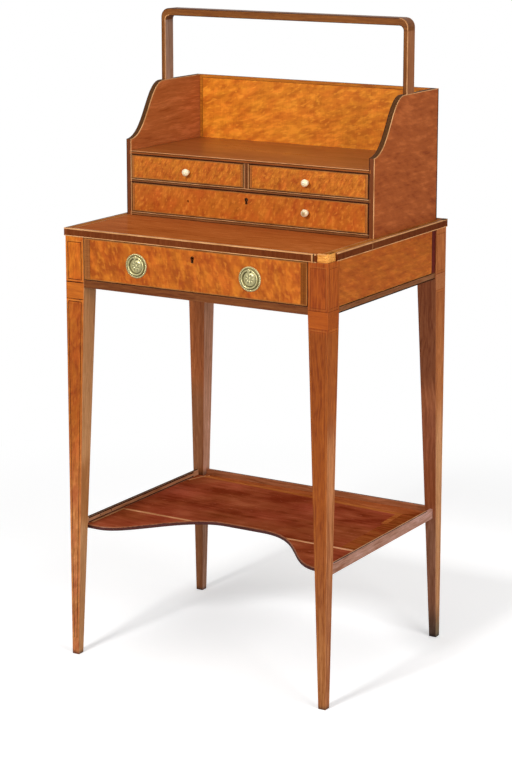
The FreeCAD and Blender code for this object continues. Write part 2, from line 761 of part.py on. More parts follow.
def make_stage_drawers(parts):
    """Two short drawers over a long one. The long drawer has lost its left knob."""
    sizes = (stage_front_thickness, stage_drawer_side, stage_drawer_back, stage_drawer_bottom,
             stage_bottom_rise, stage_lap)
    stop = stage_inner_y - stage_back_gap
    small_top = stage_shelf_under - drawer_gap
    half = divider_thickness / 2
    openings = {
        "left_drawer": (-stage_inner_x, -half, stage_front_y, stop, dustboard_z, stage_shelf_under),
        "right_drawer": (half, stage_inner_x, stage_front_y, stop, dustboard_z, stage_shelf_under),
    }
    for name, opening in openings.items():
        make_drawer(parts, name, opening, sizes + (small_top,))
    small_z = stage_shelf_under - small_knob_drop
    fit_knob(parts, "left_drawer_knob", "left_drawer_front", -knob_offset, small_z)
    fit_knob(parts, "right_drawer_knob", "right_drawer_front", knob_offset, small_z)

    opening = (-stage_inner_x, stage_inner_x, stage_front_y, stop, stage_bottom_z, dustboard_under)
    make_drawer(parts, "long_drawer", opening, sizes + (dustboard_under - drawer_gap,))
    long_z = dustboard_under - long_knob_drop
    fit_knob(parts, "long_drawer_knob", "long_drawer_front", knob_offset, long_z)
    parts["long_drawer_front"] = parts["long_drawer_front"].cut(stem_hole(-knob_offset, long_z))
    fit_lock(parts, "long_drawer", stage_front_y, stage_front_thickness, long_lock_depth,
             long_bolt_thickness, dustboard_under - drawer_gap, dustboard_under - long_key_drop)


def make_frieze_drawer(parts):
    """Drawer in the table's frieze, with its lock and two ring pulls."""
    side_top = top_under - upper_rail_height - drawer_gap
    sizes = (frieze_front_thickness, frieze_side_thickness, frieze_back_thickness,
             frieze_bottom_thickness, frieze_bottom_rise, frieze_lap, side_top)
    stop = apron_y - apron_thickness - frieze_back_gap
    opening = (-leg_inner_x, leg_inner_x, rail_front, stop, rail_top, top_under)
    make_drawer(parts, "frieze_drawer", opening, sizes)
    fit_lock(parts, "frieze_drawer", rail_front, frieze_front_thickness, frieze_lock_depth,
             frieze_bolt_thickness, top_under - drawer_gap, top_under - frieze_key_drop)
    make_pulls(parts)


def pull_plate(centre):
    """Round stamped plate with a beaded rim and a low dome inside the hanging ring."""
    rim = plate_radius - plate_rim_radius
    bead_foot = plate_thickness / 2
    outline = [(0, 0), (0, plate_radius)]
    for index in range(TURNING_STEPS + 1):
        angle = math.pi * index / TURNING_STEPS
        outline.append((bead_foot + plate_rim_height * math.sin(angle),
                        rim + plate_rim_radius * math.cos(angle)))
    outline += [(plate_thickness, rim - plate_rim_radius - plate_thickness)]
    for index in range(TURNING_STEPS + 1):
        angle = math.pi / 2 * index / TURNING_STEPS
        outline.append((plate_thickness + plate_dome_height * math.sin(angle),
                        plate_dome_radius * math.cos(angle)))
    return turned(outline, centre)


def bail_pivot(centre):
    """Point about which a ring hangs: the middle of its straight top."""
    rise = math.sqrt(bail_radius ** 2 - bail_straight ** 2)
    forward = plate_thickness + bail_gap + bail_wire
    return Vector(centre.x, centre.y - forward, centre.z + rise)


def bail(centre):
    """Hanging ring with a short straight top that turns in the eye of its post."""
    pivot = bail_pivot(centre)
    middle = Vector(centre.x, pivot.y, centre.z)
    ring = Part.makeTorus(bail_radius, bail_wire, middle, Vector(0, 1, 0))
    gap = box(pivot.x - bail_straight, pivot.x + bail_straight, pivot.y - REACH, pivot.y + REACH,
              centre.z, centre.z + bail_radius + REACH)
    ring = ring.cut(gap)
    start = Vector(pivot.x - bail_straight, pivot.y, pivot.z)
    top = Part.makeCylinder(bail_wire, 2 * bail_straight, start, Vector(1, 0, 0))
    ends = [Part.makeSphere(bail_wire, start), Part.makeSphere(bail_wire, start + Vector(2 * bail_straight, 0, 0))]
    return ring.fuse([top] + ends).removeSplitter()


def pull_post(centre):
    """Post with a round head and an eye, through plate and drawer front."""
    pivot = bail_pivot(centre)
    head_end = pivot.y - bail_wire - post_head_overhang
    plate_front = centre.y - plate_thickness
    inside = centre.y + frieze_front_thickness + nut_thickness + post_spare
    head = Part.makeCylinder(post_head_radius, plate_front - head_end,
                             Vector(pivot.x, head_end, pivot.z), Vector(0, 1, 0))
    head = round_edges(head, post_head_rounding, lambda edge: edge.BoundBox.YMax < head_end + NEAR)
    shank = Part.makeCylinder(post_radius, inside - plate_front,
                              Vector(pivot.x, plate_front, pivot.z), Vector(0, 1, 0))
    eye = Part.makeCylinder(bail_wire + bail_clearance, 2 * REACH,
                            Vector(pivot.x - REACH, pivot.y, pivot.z), Vector(1, 0, 0))
    return head.fuse(shank).removeSplitter().cut(eye)


def pull_nut(centre):
    """Square nut on the post inside the drawer."""
    pivot = bail_pivot(centre)
    inside = centre.y + frieze_front_thickness
    half = nut_size / 2
    block = box(pivot.x - half, pivot.x + half, inside, inside + nut_thickness, pivot.z - half, pivot.z + half)
    return block.cut(post_hole(centre))


def post_hole(centre):
    """Hole that a post passes through."""
    pivot = bail_pivot(centre)
    length = frieze_front_thickness + 2 * REACH
    return Part.makeCylinder(post_radius + stem_clearance, length,
                             Vector(pivot.x, centre.y - REACH, pivot.z), Vector(0, 1, 0))


def make_pulls(parts):
    """Two ring pulls on the frieze drawer."""
    plates = []
    posts = []
    for side, place in (("left", -pull_offset), ("right", pull_offset)):
        centre = Vector(place, rail_front, top_under - pull_drop)
        plates.append(pull_plate(centre).cut(post_hole(centre)))
        posts += [pull_post(centre), pull_nut(centre)]
        parts["pull_ring_" + side] = bail(centre)
        parts["frieze_drawer_front"] = parts["frieze_drawer_front"].cut(post_hole(centre))
    parts["pull_plates"] = Part.makeCompound(plates)
    parts["pull_posts"] = Part.makeCompound(posts)


# ---------------------------------------------------------------- the whole
def make_all():
    """Every part by its node's name."""
    parts = {}
    make_legs(parts)
    make_aprons(parts)
    make_front_rails(parts)
    make_runners(parts)
    make_top(parts)
    make_undershelf(parts)
    make_stage(parts)
    make_handle(parts)
    make_frieze_drawer(parts)
    make_stage_drawers(parts)
    return parts


os.makedirs("parts", exist_ok=True)
for node, shape in make_all().items():
    shape.exportStep("parts/" + node + ".step")
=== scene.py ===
"""Finish of a bonheur du jour of the cheveret kind: polished satinwood and mahogany with string
lines of box and dyed wood, crossbanding, stamped brass pulls and turned bone knobs.

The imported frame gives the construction. Here each wooden node is shown by a copy of itself with
worn arrises and a ground that has shrunk a hair below its inlay, and the inlay, pulls and knobs
are surfaces worked out with numpy. Places and sizes are in metres, in the frame of the nodes.
"""
import json
import math

import bmesh
import bpy
import numpy as np
from bpy.props import FloatProperty, FloatVectorProperty, PointerProperty
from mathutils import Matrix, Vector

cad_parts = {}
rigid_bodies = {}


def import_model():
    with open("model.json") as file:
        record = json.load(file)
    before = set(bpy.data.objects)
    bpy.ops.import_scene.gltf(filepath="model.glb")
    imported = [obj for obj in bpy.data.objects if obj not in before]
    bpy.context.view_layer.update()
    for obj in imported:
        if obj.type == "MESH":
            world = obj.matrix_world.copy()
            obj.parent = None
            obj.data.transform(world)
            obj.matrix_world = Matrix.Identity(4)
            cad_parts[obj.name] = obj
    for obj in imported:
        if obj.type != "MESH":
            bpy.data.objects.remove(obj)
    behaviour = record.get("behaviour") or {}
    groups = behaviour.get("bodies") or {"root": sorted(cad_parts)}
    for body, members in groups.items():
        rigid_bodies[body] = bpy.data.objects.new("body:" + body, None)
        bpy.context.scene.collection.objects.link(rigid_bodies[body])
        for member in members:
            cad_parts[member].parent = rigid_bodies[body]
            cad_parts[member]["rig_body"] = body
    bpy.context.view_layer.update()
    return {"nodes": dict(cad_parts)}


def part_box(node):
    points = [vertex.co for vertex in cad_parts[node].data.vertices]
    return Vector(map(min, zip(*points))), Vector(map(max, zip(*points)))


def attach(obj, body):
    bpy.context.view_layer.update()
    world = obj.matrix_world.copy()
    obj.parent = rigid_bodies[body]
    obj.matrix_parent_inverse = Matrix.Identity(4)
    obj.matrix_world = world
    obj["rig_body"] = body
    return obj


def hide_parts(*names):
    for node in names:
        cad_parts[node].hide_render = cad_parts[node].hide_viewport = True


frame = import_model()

bl_info = {
    "name": "Bonheur du jour finish",
    "version": (1, 0, 0),
    "blender": (4, 5, 0),
    "location": "3D View > Sidebar > Bonheur du jour",
    "description": "Polished woods, inlay, brass and bone for a small lady's writing table",
    "category": "Object",
}

MM = 0.001


def linear(code):
    """Linear red, green and blue of an sRGB colour such as C9681F."""
    levels = np.array([int(code[i:i + 2], 16) for i in (0, 2, 4)]) / 255
    return tuple(np.where(levels <= 0.04045, levels / 12.92, ((levels + 0.055) / 1.055) ** 2.4))


def colour(name, code, description):
    """Colour that a user may change, given as sRGB."""
    return FloatVectorProperty(name=name, description=description, subtype="COLOR", size=3,
                               min=0, max=1, default=linear(code))


def length(name, millimetres, description):
    """Length that a user may change, given in millimetres."""
    return FloatProperty(name=name, description=description, unit="LENGTH", min=0, precision=5,
                         default=millimetres * MM)


def share(name, value, description):
    """Share from 0 to 1 that a user may change."""
    return FloatProperty(name=name, description=description, subtype="FACTOR", min=0, max=1,
                         default=value)


# ------------------------------------------------------------------ what a user may change
class BONHEUR_PG_colours(bpy.types.PropertyGroup):
    """Mean colours of the woods, the brass, the bone and the iron."""
    frieze: colour("Frieze satinwood", "AD5713", "Mottled satinwood of the frieze drawer")
    small_fronts: colour("Small fronts", "B7631C", "Satinwood of the two short drawers")
    long_front: colour("Long front", "B75F1D", "Satinwood of the long drawer of the stage")
    stage_back: colour("Stage back", "D67B21", "Golden figured satinwood of the stage's back")
    top: colour("Table top", "A25625", "Polished veneer of the table top")
    aprons: colour("Aprons", "AD5717", "Plain veneer of the side and back aprons")
    leg_bright: colour("Bright leg", "BA5F16", "Satinwood of the front left leg")
    leg_red_side: colour("Side of the red leg", "B55B18", "Outer side of the front right leg")
    leg_grey: colour("Inner side of the brown leg", "BF8767", "Back left leg where it faces the kneehole")
    leg_khaki: colour("Inner side of the bright leg", "BC8453", "Faded satinwood turned to the kneehole")
    # Painted shade: the front of the back right leg is darker than its side, as shade under the table and
    # the shelf.
    leg_dark: colour("Dark leg", "91502B", "Front of the back right leg")
    # The outer side of the back right leg, paler than its front, which is painted darker as shade.
    leg_faded: colour("Faded leg", "BB6F39", "Outer side of the back right leg")
    collar: colour("Bright collar", "B55F18", "Cross-grained collar of the front left leg")
    leg_red: colour("Red leg", "9E4A0F", "Redder wood of the front right leg")
    leg_brown: colour("Brown legs", "AD683A", "Browner wood of the back legs")
    carcase: colour("Stage sides", "A25122", "Mahogany of the stage's sides")
    side_inner: colour("Inner side", "AC5E2F", "Inner face of the stage's left side")
    edge: colour("Edge of the sides", "6E3818", "Front edges of the stage's sides")
    # Partly painted shade: the stage's upward edges take this darker tone than their front edges.
    dark_edge: colour("Dark edge", "4E3018", "Top edges of the stage's sides and back")
    shelf: colour("Stage shelf", "904D1D", "Mahogany of the stage's shelf")
    undershelf: colour("Undershelf", "924328", "Streaked mahogany of the undershelf")
    under_edge: colour("Undershelf edge", "4E2A26", "Shaped front edge of the undershelf")
    under_gold: colour("Undershelf gold", "A85C2A", "Golden line round the undershelf")
    left_rail: colour("Left rail", "BC855F", "Inner face of the low rail at the left")
    rails: colour("Rails", "925634", "Mahogany of the low rails and the front rail")
    # Painted sheen: the right low rail is painted paler and greyer, as the haze of light reflected from its
    # polish.
    faded_rail: colour("Faded rail", "AE7E69", "Low rail at the right, paler with painted sheen")
    front_rail: colour("Front rail", "713D19", "Dark rail under the frieze drawer")
    handle: colour("Handle", "754218", "Mahogany of the handle")
    handle_side: colour("Handle side", "965D37", "Outer side of the handle's right upright")
    # Partly painted sheen: the inner side's colour is the mahogany greyed by a reflection seen on it.
    handle_inner: colour("Handle inner side", "9D7961", "Inner side of the handle's left upright")
    stage_rail: colour("Stage rails", "7D4923", "Boards between the drawers")
    edging: colour("Edging", "673114", "Dark cross-grained wood round the top and in bands")
    banding: colour("Banding", "905426", "Olive brown crossbanding")
    banding_dark: colour("Dark banding", "7C400B", "Crossband at the right of the frieze drawer")
    top_banding: colour("Left banding", "9A5A24", "Crossband at the left of the table top")
    gold_banding: colour("Golden banding", "B86B1D", "Straw coloured crossbanding")
    right_banding: colour("Right banding", "A4652E", "Crossband at the right of the table top")
    raw: colour("Bare wood", "DE9646", "Wood laid bare where the edging is lost")
    end_band: colour("End band", "5D1B14", "Upright band at the back end of the side aprons")
    quiet_band: colour("Quiet banding", "A8602A", "Crossbands of the stage's drawers")
    apron_band: colour("Apron band", "7F4C29", "Brown band along the foot of the aprons")
    under_border: colour("Undershelf border", "9C5028", "Brighter wood along the back of the shelf")
    under_right: colour("Undershelf right", "8A411C", "Wood along the right of the shelf")
    under_line: colour("Undershelf lines", "CC8E60", "Pale strips across the undershelf")
    leg_line: colour("Leg lines", "C4803A", "Light lines of the legs, gone brown")
    boxwood: colour("Boxwood", "D09A66", "Light string lines")
    khaki_line: colour("Khaki lines", "9A6432", "Narrow band round the drawer fronts")
    soft_line: colour("Soft lines", "A4622E", "Light lines of the red and brown legs")
    soft_dark: colour("Soft dark lines", "7A3A1A", "Dark lines of the red and brown legs")
    dyed: colour("Dyed wood", "341810", "Dark string lines")
    oak: colour("Oak", "A98354", "Unpolished linings and runners")
    brass: colour("Brass", "E4DAA2", "Pale lacquered brass")
    # Painted shade: the brass lining of the keyholes is made nearly black, so that the shade in the hole
    # looks wider.
    keyhole_brass_in_shade: colour("Keyhole brass in shade", "382C1A", "Brown brass that lines the keyholes")
    bone: colour("Bone", "F8EED0", "Turned knobs")
    iron: colour("Iron", "5C5650", "Locks and bolts")


class BONHEUR_PG_inlay(bpy.types.PropertyGroup):
    """Sizes of the string lines and bands."""
    stand: length("Stand", 0.04, "How far the ground has shrunk below its inlay")
    veneer: length("Veneer", 0.7, "Depth of strings and bands")
    frieze_band: length("Frieze band", 12.0, "Crossband at the ends of the frieze drawer")
    small_band: length("Small band", 5.0, "Crossband at the ends of the stage's drawers")
    top_band: length("Top band", 12.0, "Crossband along the sides of the table top")
    apron_band: length("Apron band", 11.0, "Dark band along the lower edge of the aprons")
    leg_inset: length("Leg inset", 2.6, "Light line of a leg behind the arris")


class BONHEUR_PG_wear(bpy.types.PropertyGroup):
    """How much use the piece shows."""
    arris: length("Arris", 0.45, "Width that rubbing has taken off an arris")
    rubbed: share("Rubbed", 0.45, "How far worn arrises have lightened")
    tarnish: share("Tarnish", 0.9, "Darkness in the hollows of the brass")


class BONHEUR_PG_studio(bpy.types.PropertyGroup):
    """Lamps, floor and camera."""
    key: FloatProperty(name="Key", description="Power of the large lamp at the front left",
                       subtype="POWER", min=0, default=78)
    fill: FloatProperty(name="Fill", description="Power of the lamp at the right",
                        subtype="POWER", min=0, default=46)
    overhead: FloatProperty(name="Overhead", description="Power of the lamp above",
                            subtype="POWER", min=0, default=20)
    ambient: share("Ambient", 0.2, "Light from all round")
    focal: FloatProperty(name="Focal length", description="Lens of the camera, in millimetres",
                         min=10, default=104.62)
    fall: FloatProperty(name="Fall", description="Downward shift of the view, as a share of its height",
                        default=-0.10)


GROUPS = {"bonheur_colours": BONHEUR_PG_colours, "bonheur_inlay": BONHEUR_PG_inlay,
          "bonheur_wear": BONHEUR_PG_wear, "bonheur_studio": BONHEUR_PG_studio}


def setting(group):
    """The settings of one group."""
    return getattr(bpy.context.scene, "bonheur_" + group)


# ------------------------------------------------------------------ nodes of a material
def add(tree, kind, settings=None, inputs=None):
    """Add a node to a tree, with its settings, and its inputs by name or number: each is a
    value, a socket, or a node that gives its first output in use."""
    node = tree.nodes.new("ShaderNode" + kind)
    for name, value in (settings or {}).items():
        setattr(node, name, value)
    for key, value in (inputs or {}).items():
        socket = node.inputs[key] if isinstance(key, int) else next(
            s for s in node.inputs if s.name == key and s.enabled)
        if isinstance(value, bpy.types.Node):
            value = next(s for s in value.outputs if s.enabled)
        if isinstance(value, bpy.types.NodeSocket):
            tree.links.new(value, socket)
        else:
            socket.default_value = value
    return node


def new_material(name):
    """Empty material and its node tree."""
    material = bpy.data.materials.new(name)
    material.use_nodes = True
    material.node_tree.nodes.clear()
    return material, material.node_tree


def tone(base, red, green, blue):
    """A colour with its three parts multiplied, as RGBA."""
    return tuple(min(1.0, part * times) for part, times in zip(base, (red, green, blue))) + (1.0,)


# Turn that lays the grain, which runs along X in the pattern, along an axis of the object.
GRAIN = {"X": (0, 0, 0), "Y": (0, 0, -math.pi / 2), "Z": (0, math.pi / 2, 0)}
# Shares of growth streaks, broad clouds and fine fibres in the height that plain wood follows.
STREAKS, CLOUDS, FIBRES = 0.50, 0.28, 0.22
# How far red, green and blue fall where wood is dark, and rise where it is light.
DARKER = (0.34, 0.50, 0.64)
LIGHTER = (0.38, 0.58, 0.95)
# Tints: dirt in the pores, and patches that lean to red and to gold.
PORE_TINT = (0.42, 0.30, 0.24, 1)
RED_TINT = (1.0, 0.74, 0.8, 1)
GOLD_TINT = (0.98, 1.22, 0.85, 1)


def grain_noise(tree, source, along, across, detail, rough=0.55, slant=0.0):
    """Noise with a cell of so many millimetres along and across the grain, slanted by degrees."""
    cell = add(tree, "Mapping", {"vector_type": "TEXTURE"},
               {"Vector": source, "Rotation": (0, math.radians(slant), math.radians(slant)),
                "Scale": (along * MM, across * MM, across * MM)})
    return add(tree, "TexNoise", None, {"Vector": cell, "Scale": 1.0, "Detail": detail,
                                        "Roughness": rough}).outputs["Fac"]


def grain_height(tree, lay, wavy, streak, figure, ripple):
    """Height that the colour of wood follows, as a sum of noises by their shares, and the noise
    of its fibres alone."""
    curl_long, curl_wide, slant, figured = figure
    plain = 1 - figured - ripple
    fibres = grain_noise(tree, lay, 16, 0.9, 2.0)
    layers = [(grain_noise(tree, wavy, streak[1], streak[0], 4.0, 0.62), STREAKS * plain),
              (grain_noise(tree, lay, 260, 90, 1.0), CLOUDS * plain),
              (fibres, FIBRES * plain)]
    if figured:
        for size, detail, rough, part in ((1.0, 1.2, 0.5, 0.64), (0.4, 1.5, 0.6, 0.36)):
            layers.append((grain_noise(tree, wavy, curl_long * size, curl_wide * size, detail, rough, slant),
                           figured * part))
    if ripple:
        layers.append((grain_noise(tree, wavy, 2.6, 16, 1.0), ripple))
    height = 0.0
    for layer, part in layers:
        height = add(tree, "Math", {"operation": "MULTIPLY_ADD"}, {0: layer, 1: part, 2: height})
    return height, fibres


def height_tones(tree, base, height, strength, depth):
    """Colours along the height: dark, mean and light, closer together where strength is more."""
    reach = 0.15 / strength
    ramp = add(tree, "ValToRGB", None, {"Fac": height})
    ramp.color_ramp.interpolation = "EASE"
    stops = ramp.color_ramp.elements
    stops[0].position = 0.5 - reach
    stops[0].color = tone(base, *(1 - part * depth for part in DARKER))
    stops[1].position = 0.5 + reach
    stops[1].color = tone(base, *(1 + part * depth for part in LIGHTER))
    middle = stops.new(0.5)
    middle.color = tone(base, 1.0, 1.0, 1.0)
    return ramp


def rubbed_wood(tree, lay, scuffs):
    """How far the polish is rubbed through: in patches on worn arrises, and in scuffs."""
    worn = add(tree, "Attribute", {"attribute_name": "worn"})
    patchy = add(tree, "MapRange", None,
                 {"Value": grain_noise(tree, lay, 30, 30, 3.0), "From Min": 0.35, "From Max": 0.65})
    rub = add(tree, "Math", {"operation": "MULTIPLY"}, {0: worn.outputs["Fac"], 1: patchy})
    rub = add(tree, "Math", {"operation": "MULTIPLY"}, {0: rub, 1: setting("wear").rubbed})
    if scuffs:
        scratch = add(tree, "MapRange", None, {"Value": grain_noise(tree, lay, 9, 2.5, 1.0),
                                               "From Min": 0.70, "From Max": 0.78, "To Max": scuffs})
        rub = add(tree, "Math", {"operation": "MAXIMUM"}, {0: rub, 1: scratch})
    return rub


def tinted_by_height(tree, place, fibres, shade, ageing):
    """Colour tinted towards the floor, in steps whose edges the fibres fray by 5 mm: tints for age, and
    tints that paint shade and the reflection of the bright floor.
    """
    if ageing:
        above = add(tree, "SeparateXYZ", None, {0: place}).outputs["Z"]
        above = add(tree, "Math", {"operation": "MULTIPLY_ADD"}, {0: fibres, 1: 5 * MM, 2: above})
    for full, end, tint in ageing:
        part = add(tree, "MapRange", {"interpolation_type": "SMOOTHSTEP"},
                   {"Value": above, "From Min": full * MM, "From Max": end * MM, "To Min": 1, "To Max": 0})
        shade = add(tree, "Mix", {"data_type": "RGBA", "blend_type": "MULTIPLY"},
                    {"Factor": part, "A": shade, "B": tint + (1,)})
    return shade


def wood(name, base, grain, streak=(4, 240), figure=(30, 12, 0, 0.0), ripple=0.0, strength=1.0,
         depth=1.0, pores=0.3, gloss=0.34, specular=0.25, coat=0.0, seed=0.0, ageing=(), scuffs=0.0,
         hue=0.0, flecks=0.0):
    """Polished wood. The colour follows one height that adds up, by their shares, growth streaks
    (streak: mm across and along the grain), figure that catches the light (figure: mm along and
    across the grain, slant in degrees and share), ripple across the grain, broad clouds and
    fine fibres: strength is how steeply and depth how far. Pores darken it, rubbed arrises and
    scuffs show paler wood. hue is how far patches lean to red or gold. Short curls of the figure
    are painted lighter, as painted highlights where they would catch the light, and the glint
    setting is how strongly. Each tint by height (mm above the floor where it is full and where
    it ends, then red, green and blue) tints the wood towards the floor: some stand for age, and
    some paint shade and the reflection of the bright floor."""
    material, tree = new_material(name)
    place = add(tree, "TexCoord").outputs["Object"]
    lay = add(tree, "Mapping", None, {"Vector": place, "Rotation": GRAIN[grain],
                                      "Location": (seed, seed * 0.7, seed * 1.3)})
    # Slow drift bends the grain by a few millimetres over a hand's breadth.
    drift = add(tree, "TexNoise", None, {"Vector": lay, "Scale": 1 / (110 * MM), "Detail": 1.5})
    wavy = add(tree, "VectorMath", {"operation": "MULTIPLY_ADD"},
               {0: drift.outputs["Color"], 1: (6 * MM, 20 * MM, 20 * MM), 2: lay})
    height, fibres = grain_height(tree, lay, wavy, streak, figure, ripple)
    shade = height_tones(tree, base, height, strength, depth)

    # Pores are 0.1 mm wide in the wood: they are drawn coarser, so that they still show.
    pore = add(tree, "MapRange", {"interpolation_type": "SMOOTHSTEP"},
               {"Value": grain_noise(tree, lay, 9, 0.55, 1.0), "From Min": 0.58, "From Max": 0.70,
                "To Max": pores})
    shade = add(tree, "Mix", {"data_type": "RGBA", "blend_type": "MULTIPLY"},
                {"Factor": pore, "A": shade, "B": PORE_TINT})
    curl_long, curl_wide, slant = figure[:3]
    if hue:
        patch = grain_noise(tree, wavy, curl_long * 1.6, curl_wide * 1.6, 2.0, 0.6, slant)
        lean = add(tree, "MapRange", None, {"Value": patch, "From Min": 0.36, "From Max": 0.64})
        lean = add(tree, "Mix", {"data_type": "RGBA"}, {"Factor": lean, "A": RED_TINT, "B": GOLD_TINT})
        shade = add(tree, "Mix", {"data_type": "RGBA", "blend_type": "MULTIPLY"},
                    {"Factor": hue, "A": shade, "B": lean})
    # Painted highlight: short curls of the figure painted lighter, as glints where they would catch the
    # light.
    if flecks:
        glint_mask = grain_noise(tree, wavy, curl_long * 0.5, curl_wide * 0.4, 1.0, 0.5, slant)
        glint_mask = add(tree, "MapRange", {"interpolation_type": "SMOOTHSTEP"},
                   {"Value": glint_mask, "From Min": 0.56, "From Max": 0.70, "To Max": flecks})
        shade = add(tree, "Mix", {"data_type": "RGBA"},
                    {"Factor": glint_mask, "A": shade, "B": tone(base, 1.5, 2.1, 2.6)})
    rub = rubbed_wood(tree, lay, scuffs)
    shade = add(tree, "Mix", {"data_type": "RGBA"},
                {"Factor": rub, "A": shade, "B": tone(base, 1.6, 2.1, 3.0)})
    # Tints by height: age, and on the legs painted shade and painted reflection of the bright floor.
    shade = tinted_by_height(tree, place, fibres, shade, ageing)

    # Light wood takes the finer polish, and rubbed wood is dull.
    dull = add(tree, "MapRange", None,
               {"Value": height, "From Min": 0.3, "From Max": 0.7, "To Min": gloss + 0.07,
                "To Max": gloss - 0.05})
    dull = add(tree, "Math", {"operation": "MULTIPLY_ADD"}, {0: rub, 1: 0.25, 2: dull})
    grooves = add(tree, "Math", {"operation": "SUBTRACT"}, {0: fibres, 1: pore})
    bump = add(tree, "Bump", None, {"Strength": 0.22, "Distance": 0.12 * MM, "Height": grooves})
    surface = add(tree, "BsdfPrincipled", None,
                  {"Base Color": shade, "Roughness": dull, "Normal": bump,
                   "Specular IOR Level": specular, "Coat Weight": coat, "Coat Roughness": 0.12})
    add(tree, "OutputMaterial", None, {"Surface": surface})
    return material


def string_wood(name, base, gloss):
    """Straight fine-grained wood cut into lines 1 mm wide, box or holly and dyed pear: nearly
    even, with a change of tone every few centimetres where lengths meet and polish has
    darkened."""
    material, tree = new_material(name)
    place = add(tree, "TexCoord").outputs["Object"]
    patches = add(tree, "TexNoise", None, {"Vector": place, "Scale": 1 / (28 * MM), "Detail": 4.0})
    even = add(tree, "MapRange", None, {"Value": patches.outputs["Fac"], "From Min": 0.3, "From Max": 0.7})
    mixed = add(tree, "Mix", {"data_type": "RGBA"},
                {"Factor": even, "A": tone(base, 0.72, 0.62, 0.52), "B": tone(base, 1.16, 1.2, 1.3)})
    grit = add(tree, "TexNoise", None, {"Vector": place, "Scale": 1 / (0.8 * MM)})
    bump = add(tree, "Bump", None, {"Strength": 0.15, "Distance": 0.1 * MM, "Height": grit.outputs["Fac"]})
    surface = add(tree, "BsdfPrincipled", None,
                  {"Base Color": mixed, "Roughness": gloss, "Specular IOR Level": 0.06, "Normal": bump})
    add(tree, "OutputMaterial", None, {"Surface": surface})
    return material


def stamped_brass(name, base):
    """Thin brass stamped in a die and lacquered: pale and soft on the high places, with brown
    tarnish in the hollows, which the attribute hollow marks."""
    material, tree = new_material(name)
    place = add(tree, "TexCoord").outputs["Object"]
    hollow = add(tree, "Attribute", {"attribute_name": "hollow"})
    mottle = add(tree, "TexNoise", None, {"Vector": place, "Scale": 1 / (2.6 * MM), "Detail": 4.0})
    spots = add(tree, "MapRange", None, {"Value": mottle.outputs["Fac"], "From Min": 0.42,
                                         "From Max": 0.72, "To Max": 0.3})
    dirt = add(tree, "Math", {"operation": "MAXIMUM"}, {0: spots, 1: hollow.outputs["Fac"]})
    dirt = add(tree, "Math", {"operation": "MULTIPLY"}, {0: dirt, 1: setting("wear").tarnish})
    mixed = add(tree, "Mix", {"data_type": "RGBA"},
                {"Factor": dirt, "A": tone(base, 1, 1, 1), "B": tone(base, 0.11, 0.095, 0.05)})
    rough = add(tree, "MapRange", None, {"Value": dirt, "To Min": 0.29, "To Max": 0.62})
    bump = add(tree, "Bump", None, {"Strength": 0.25, "Distance": 0.15 * MM,
                                    "Height": mottle.outputs["Fac"]})
    surface = add(tree, "BsdfPrincipled", None,
                  {"Base Color": mixed, "Metallic": 0.65, "Roughness": rough, "Normal": bump})
    add(tree, "OutputMaterial", None, {"Surface": surface})
    return material


def turned_bone(name, base):
    """Bone turned and polished: cream, with yellow clouds, fine brown vessels along it, dirt in
    the turned lines, which the attribute hollow marks, and a soft glow from light inside."""
    material, tree = new_material(name)
    place = add(tree, "TexCoord").outputs["Object"]
    clouds = add(tree, "TexNoise", None, {"Vector": place, "Scale": 1 / (7 * MM), "Detail": 3.0})
    cells = add(tree, "Mapping", None, {"Vector": place,
                                        "Scale": (1 / (0.5 * MM), 1 / (5 * MM), 1 / (0.5 * MM))})
    vessels = add(tree, "TexNoise", None, {"Vector": cells, "Scale": 1.0, "Detail": 2.0})
    marks = add(tree, "MapRange", None, {"Value": vessels.outputs["Fac"], "From Min": 0.6,
                                         "From Max": 0.75, "To Max": 0.5})
    cream = add(tree, "Mix", {"data_type": "RGBA"},
                {"Factor": clouds.outputs["Fac"], "A": tone(base, 0.90, 0.84, 0.68),
                 "B": tone(base, 1.0, 1.0, 1.0)})
    hollow = add(tree, "Attribute", {"attribute_name": "hollow"})
    dirt = add(tree, "Math", {"operation": "MAXIMUM"}, {0: marks, 1: hollow.outputs["Fac"]})
    mixed = add(tree, "Mix", {"data_type": "RGBA"},
                {"Factor": dirt, "A": cream, "B": tone(base, 0.42, 0.30, 0.17)})
    surface = add(tree, "BsdfPrincipled", None,
                  {"Base Color": mixed, "Roughness": 0.28, "Subsurface Weight": 0.08,
                   "Subsurface Scale": 1.5 * MM})
    add(tree, "OutputMaterial", None, {"Surface": surface})
    return material


def filed_iron(name, base):
    """Wrought iron filed bright and gone dull: grey brown, with file marks and rust freckles."""
    material, tree = new_material(name)
    place = add(tree, "TexCoord").outputs["Object"]
    cells = add(tree, "Mapping", None, {"Vector": place,
                                        "Scale": (1 / (6 * MM), 1 / (6 * MM), 1 / (0.4 * MM))})
    marks = add(tree, "TexNoise", None, {"Vector": cells, "Scale": 1.0, "Detail": 3.0})
    freckles = add(tree, "TexNoise", None, {"Vector": place, "Scale": 1 / (3 * MM), "Detail": 4.0})
    rust = add(tree, "MapRange", None, {"Value": freckles.outputs["Fac"], "From Min": 0.5,
                                        "From Max": 0.7})
    mixed = add(tree, "Mix", {"data_type": "RGBA"},
                {"Factor": rust, "A": tone(base, 1, 1, 1), "B": linear("5A3420") + (1.0,)})
    bump = add(tree, "Bump", None, {"Strength": 0.3, "Distance": 0.1 * MM, "Height": marks.outputs["Fac"]})
    surface = add(tree, "BsdfPrincipled", None,
                  {"Base Color": mixed, "Metallic": 0.8, "Roughness": 0.55, "Normal": bump})
    add(tree, "OutputMaterial", None, {"Surface": surface})
    return material


# ------------------------------------------------------------------ finishes
def timber(colour_name, grain, like=None, **options):
    """Finish in wood: the name of its colour, the way of its grain, options that it shares with
    other finishes and those of its own."""
    return wood, colour_name, {"grain": grain, **(like or {}), **options}


